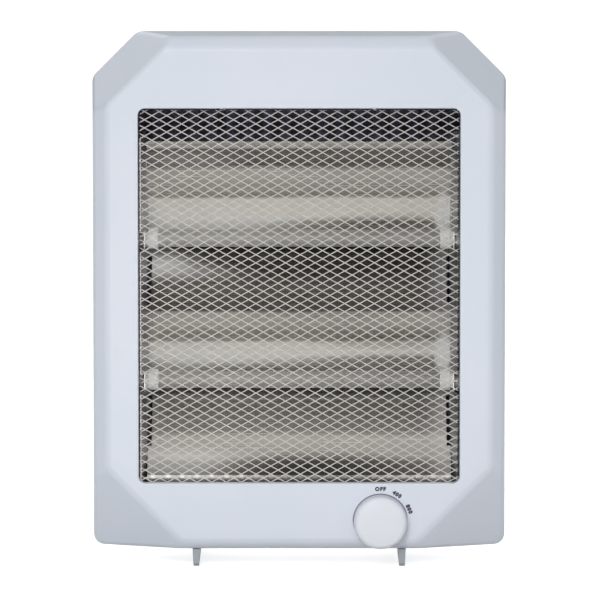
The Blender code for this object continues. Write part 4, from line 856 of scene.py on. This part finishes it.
def makeTube(level, z):
    e = element
    outer, inner, end, soft = e["radius"], e["radius"] - e["wall"], e["endX"], e["tubeSoft"]
    profile = [(outer, -end + soft), (outer, end - soft), (outer - soft, end), (inner + soft, end)]
    profile += [(inner, end - soft), (inner, -end + soft), (inner + soft, -end), (outer - soft, -end)]
    asPiece("quartzTube_" + level, spun(profile, 64, (0, e["y"], z), "X"), looks["quartz"], 40,
            replaced=["quartz_tube_" + level])


def makeCap(level, word, z, side):
    e = element
    radius, neck, bore, cut = e["capRadius"], e["neckRadius"], e["leadBore"], e["chamfer"]
    start, end, socket = e["capStart"], e["capEnd"], e["radius"] + e["socketGap"]
    front, soft, back = e["frontRound"], e["neckRound"], e["endRound"]
    profile = [(socket, start + cut), (socket + cut, start)]
    profile += fillet((radius - front, start + front), front, -90, 0, 4)
    profile += fillet((radius - soft, e["neckStart"] - soft), soft, 0, 90, 3)
    profile += [(neck, e["neckStart"]), (neck, e["neckEnd"])]
    profile += fillet((radius - soft, e["neckEnd"] + soft), soft, -90, 0, 3)
    profile += fillet((radius - back, end - back), back, 0, 90, 5)
    profile += [(bore + cut, end), (bore, end - cut)]
    profile += [(bore, start + e["socketDepth"]), (socket, start + e["socketDepth"])]
    asPiece("ceramicCap_%s_%s" % (level, word), spun(profile, 48, (0, e["y"], z), side), looks["ceramic"], 40,
            replaced=["ceramic_cap_%s_%s" % (level, word)])


for level, z in element["heights"].items():
    makeTube(level, z)
    makeCoil("heatingCoil_" + level, z, ["heating_coil_" + level])
    for word, side in (("left", "-X"), ("right", "X")):
        makeCap(level, word, z, side)
print("stage: tubes, coils and caps ready")

# selector knob, its printed marks and the painted shadow line round it
knob = {
    "x": bezel["shaftX"], "z": bezel["shaftZ"], "baseY": -52.8 * mm, "radius": 18.4 * mm, "height": 12.2 * mm,
    "rounding": 3.5 * mm, "wall": 2 * mm, "hub": 6 * mm, "bore": 3.3 * mm, "shaftIn": 6.3 * mm,
    "arcRadius": 19.05 * mm, "arcWidth": 0.85 * mm, "arcFrom": -108, "arcTo": 88,
    "markHeight": 2.6 * mm, "markWeight": 0.3 * mm, "markFlat": 0.12, "markSpacing": 1.28,
    "marks": (("OFF", 0, 22.6 * mm), ("400", 31.5, 22.1 * mm), ("800", 67, 21.8 * mm)), "capitalShare": 0.72,
    "rim": 0.4 * mm, "crownFlat": 5 * mm, "pointerWidth": 1.4 * mm, "pointerLength": 5 * mm,
    "pointerDepth": 0.28 * mm, "pointerRadius": 0.699 * mm, "printAndShadowLift": 0.03 * mm, "arcShadowSunk": 0.05 * mm,
    "printAndShadowHalf": 0.02 * mm, "arcSteps": 72, "arcTaper": 8,
}


def makeKnob():
    k = knob
    r, h, soft, crown = k["radius"], k["height"], k["rounding"], k["height"] - k["wall"]
    profile = [(r - k["rim"], 0), (r, k["rim"])]
    profile += fillet((r - soft, h - soft), soft, 0, 84, 10)
    profile += [(r - soft - k["crownFlat"], h), (0, h), (0, k["shaftIn"]), (k["bore"], k["shaftIn"])]
    profile += [(k["bore"], 0), (k["hub"], 0), (k["hub"], crown - k["wall"])]
    profile += [(r - k["wall"], crown - k["wall"]), (r - k["wall"], 0)]
    body = spun(profile, 96, (k["x"], k["baseY"], k["z"]), "-Y")
    pointer = roundedPlate(
        k["pointerWidth"], k["pointerLength"], k["pointerRadius"], k["baseY"] - h - 1 * mm,
        k["baseY"] - h + k["pointerDepth"], (k["x"], k["z"] + (r - soft) / 2))
    asPiece("knobTurned", carved(body, [pointer]), looks["knob"], 32, body="knob",
            replaced=["selector_knob"])


def dialPoint(angle, radius, y):
    turn = math.radians(angle)
    return (knob["x"] + radius * math.sin(turn), y, knob["z"] + radius * math.cos(turn))


def makeMarks():
    k = knob
    for text, angle, ring in k["marks"]:
        curve = bpy.data.curves.new("mark" + text, "FONT")
        curve.body = text
        curve.size = k["markHeight"] / k["capitalShare"]
        curve.align_x = "CENTER"
        curve.align_y = "CENTER"
        curve.extrude = k["printAndShadowHalf"]
        curve.bevel_depth = k["markWeight"]
        curve.bevel_resolution = 0
        curve.space_character = k["markSpacing"]
        holder = bpy.data.objects.new("mark" + text, curve)
        shared.objects.link(holder)
        bpy.context.view_layer.update()
        bm = finalMesh(holder)
        bmesh.ops.scale(bm, vec=(1, 1, k["markFlat"]), verts=bm.verts)
        moved(bm, (0, 0, 0), 90, "X")
        moved(bm, dialPoint(angle, ring, bezel["faceY"] - k["printAndShadowLift"]), angle, "Y")
        asPiece("dialMark_" + text, clean(bm), looks["ink"], 30)


def makeArc():
    # the painted shadow at the knob's base: a fine dark line from lower left over the top to the right
    k = knob
    bm = bmesh.new()
    rows = []
    for step in range(k["arcSteps"] + 1):
        share = step / k["arcSteps"]
        angle = k["arcFrom"] + (k["arcTo"] - k["arcFrom"]) * share
        full = min(1, k["arcTaper"] * share, k["arcTaper"] * (1 - share))
        half = k["arcWidth"] / 2 * full + k["printAndShadowHalf"]
        rows.append([
            bm.verts.new(dialPoint(angle, radius, y))
            for radius in (k["arcRadius"] - half, k["arcRadius"] + half)
            for y in (bezel["faceY"] - k["printAndShadowLift"], bezel["faceY"] + k["arcShadowSunk"])])
    for first, second in zip(rows, rows[1:]):
        for a, b in ((0, 1), (1, 3), (3, 2), (2, 0)):
            bm.faces.new((first[a], first[b], second[b], second[a]))
    for end in (rows[0], rows[-1]):
        bm.faces.new((end[0], end[1], end[3], end[2]))
    asPiece("knobShadowArc", clean(bm), looks["knobShadowLine"], 30)


makeKnob()
makeMarks()
makeArc()
print("stage: knob and marks ready")


# CAD pieces that keep their shape
def refined(node, name, material, width, inside=None, middle=None):
    # a merged copy of a imported piece with softened edges, and a second material on the faces turned inward
    # (on the case, the painted shade inside)
    bm = bmesh.new()
    bm.from_mesh(nodes[node].data)
    clean(bm, 2e-6)
    bmesh.ops.dissolve_limit(
        bm, angle_limit=math.radians(0.4), use_dissolve_boundaries=False, verts=bm.verts, edges=bm.edges)
    edgeBevel(bm, width, 2, 25)
    if inside:
        bm.normal_update()
        for face in bm.faces:
            if (face.calc_center_median() - Vector(middle)).dot(face.normal) < 0:
                face.material_index = 1
    piece = asPiece(name, bm, material, 32, replaced=[node])
    if inside:
        piece.data.materials.append(inside)
    evenNormals(piece)
    return piece


# painted shade: the case's inward faces get the dark inside tone
refined("rear_case", "caseTray", looks["case"], 0.25 * mm, inside=looks["inside"],
        middle=(0, -30 * mm, 190 * mm))
refined("carry_handle", "handleGrip", looks["handle"], 0.4 * mm)
for word in ("left", "right"):
    refined("foot_" + word, "footRunner_" + word, looks["foot"], 0.5 * mm)
refined("cord_gland", "glandBush", looks["rubber"], 0.4 * mm)
# painted shade: the right end plate's front edge is made near black for the dark gap beside it
plateGapShadeFront = -41 * mm
for word in ("left", "right"):
    plate = refined("end_plate_" + word, "endPlate_" + word, looks["plate"], 0.15 * mm)
    plate.data.materials.append(looks["plateGapShade"])
    for face in plate.data.polygons:
        if word == "right" and face.center.y < plateGapShadeFront:
            face.material_index = 1

restyled = {
    "selector_switch": "dark", "thermal_cutout": "dark", "tilt_switch_bracket": "dark",
    "tilt_pendulum": "steel", "tilt_pivot_pin": "steel", "selector_shaft": "steel",
    "terminal_block": "ceramic",
}
for level in ("upper", "lower"):
    for word in ("left", "right"):
        restyled["cap_keeper_%s_%s" % (level, word)] = "steel"
for node, look in restyled.items():
    mesh = nodes[node].data
    mesh.materials.clear()
    mesh.materials.append(looks[look])
print("stage: case, handle, feet and inner pieces ready")

# screws
screw = {
    "headRadius": 3.4 * mm, "headHeight": 1.9 * mm, "headRound": 1.3 * mm, "rimSoft": 0.2 * mm,
    "rimHeight": 0.25 * mm, "shank": 1.5 * mm, "tipShare": 0.4, "tipFlat": 0.4 * mm, "tipLength": 2.2 * mm,
    "slotLong": 3.4 * mm, "slotWide": 0.75 * mm, "slotDeep": 1.1 * mm, "slotTaper": 0.35, "slotTurn": 20,
}


def screwPlace(node, low, high):
    # where the head's seat lies, and the turn about X: foot screws' heads look up, handle screws' forward
    # and all others back
    middle, head = (low + high) / 2, screw["headHeight"]
    if node.startswith("foot_screw"):
        return (middle.x, middle.y, high.z - head), 0
    if node.startswith("handle_screw"):
        return (middle.x, low.y + head, middle.z), 90
    return (middle.x, high.y - head, middle.z), -90


def makeScrew(node):
    s = screw
    low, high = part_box(node)
    length = max(high - low) - s["headHeight"]
    head, soft = s["headRadius"], s["headRound"]
    profile = [(0, -length), (s["shank"] * s["tipShare"], s["tipFlat"] - length)]
    profile += [(s["shank"], s["tipLength"] - length), (s["shank"], 0)]
    profile += [(head - s["rimSoft"], 0), (head, s["rimHeight"])]
    profile += fillet((head - soft, s["headHeight"] - soft), soft, 0, 75, 5)
    profile += [(0, s["headHeight"])]
    body = spun(profile, 32)
    arms = []
    for turn in (0, 90):
        arm = bmesh.new()
        bmesh.ops.create_cube(arm, size=1)
        bmesh.ops.scale(arm, vec=(s["slotLong"], s["slotWide"], 2 * s["slotDeep"]), verts=arm.verts)
        for vert in arm.verts:
            if vert.co.z < 0:
                vert.co.x *= s["slotTaper"]
        arms.append(clean(moved(arm, (0, 0, s["headHeight"]), turn + s["slotTurn"], "Z")))
    place, tilt = screwPlace(node, low, high)
    name = node.replace("_screw_", "Screw_").replace("end_plate", "plate")
    asPiece(name, moved(carved(body, arms), place, tilt), looks["screw"], 30,
            replaced=[node])


for node in sorted(nodes):
    if "_screw_" in node:
        makeScrew(node)
print("stage: screws ready")
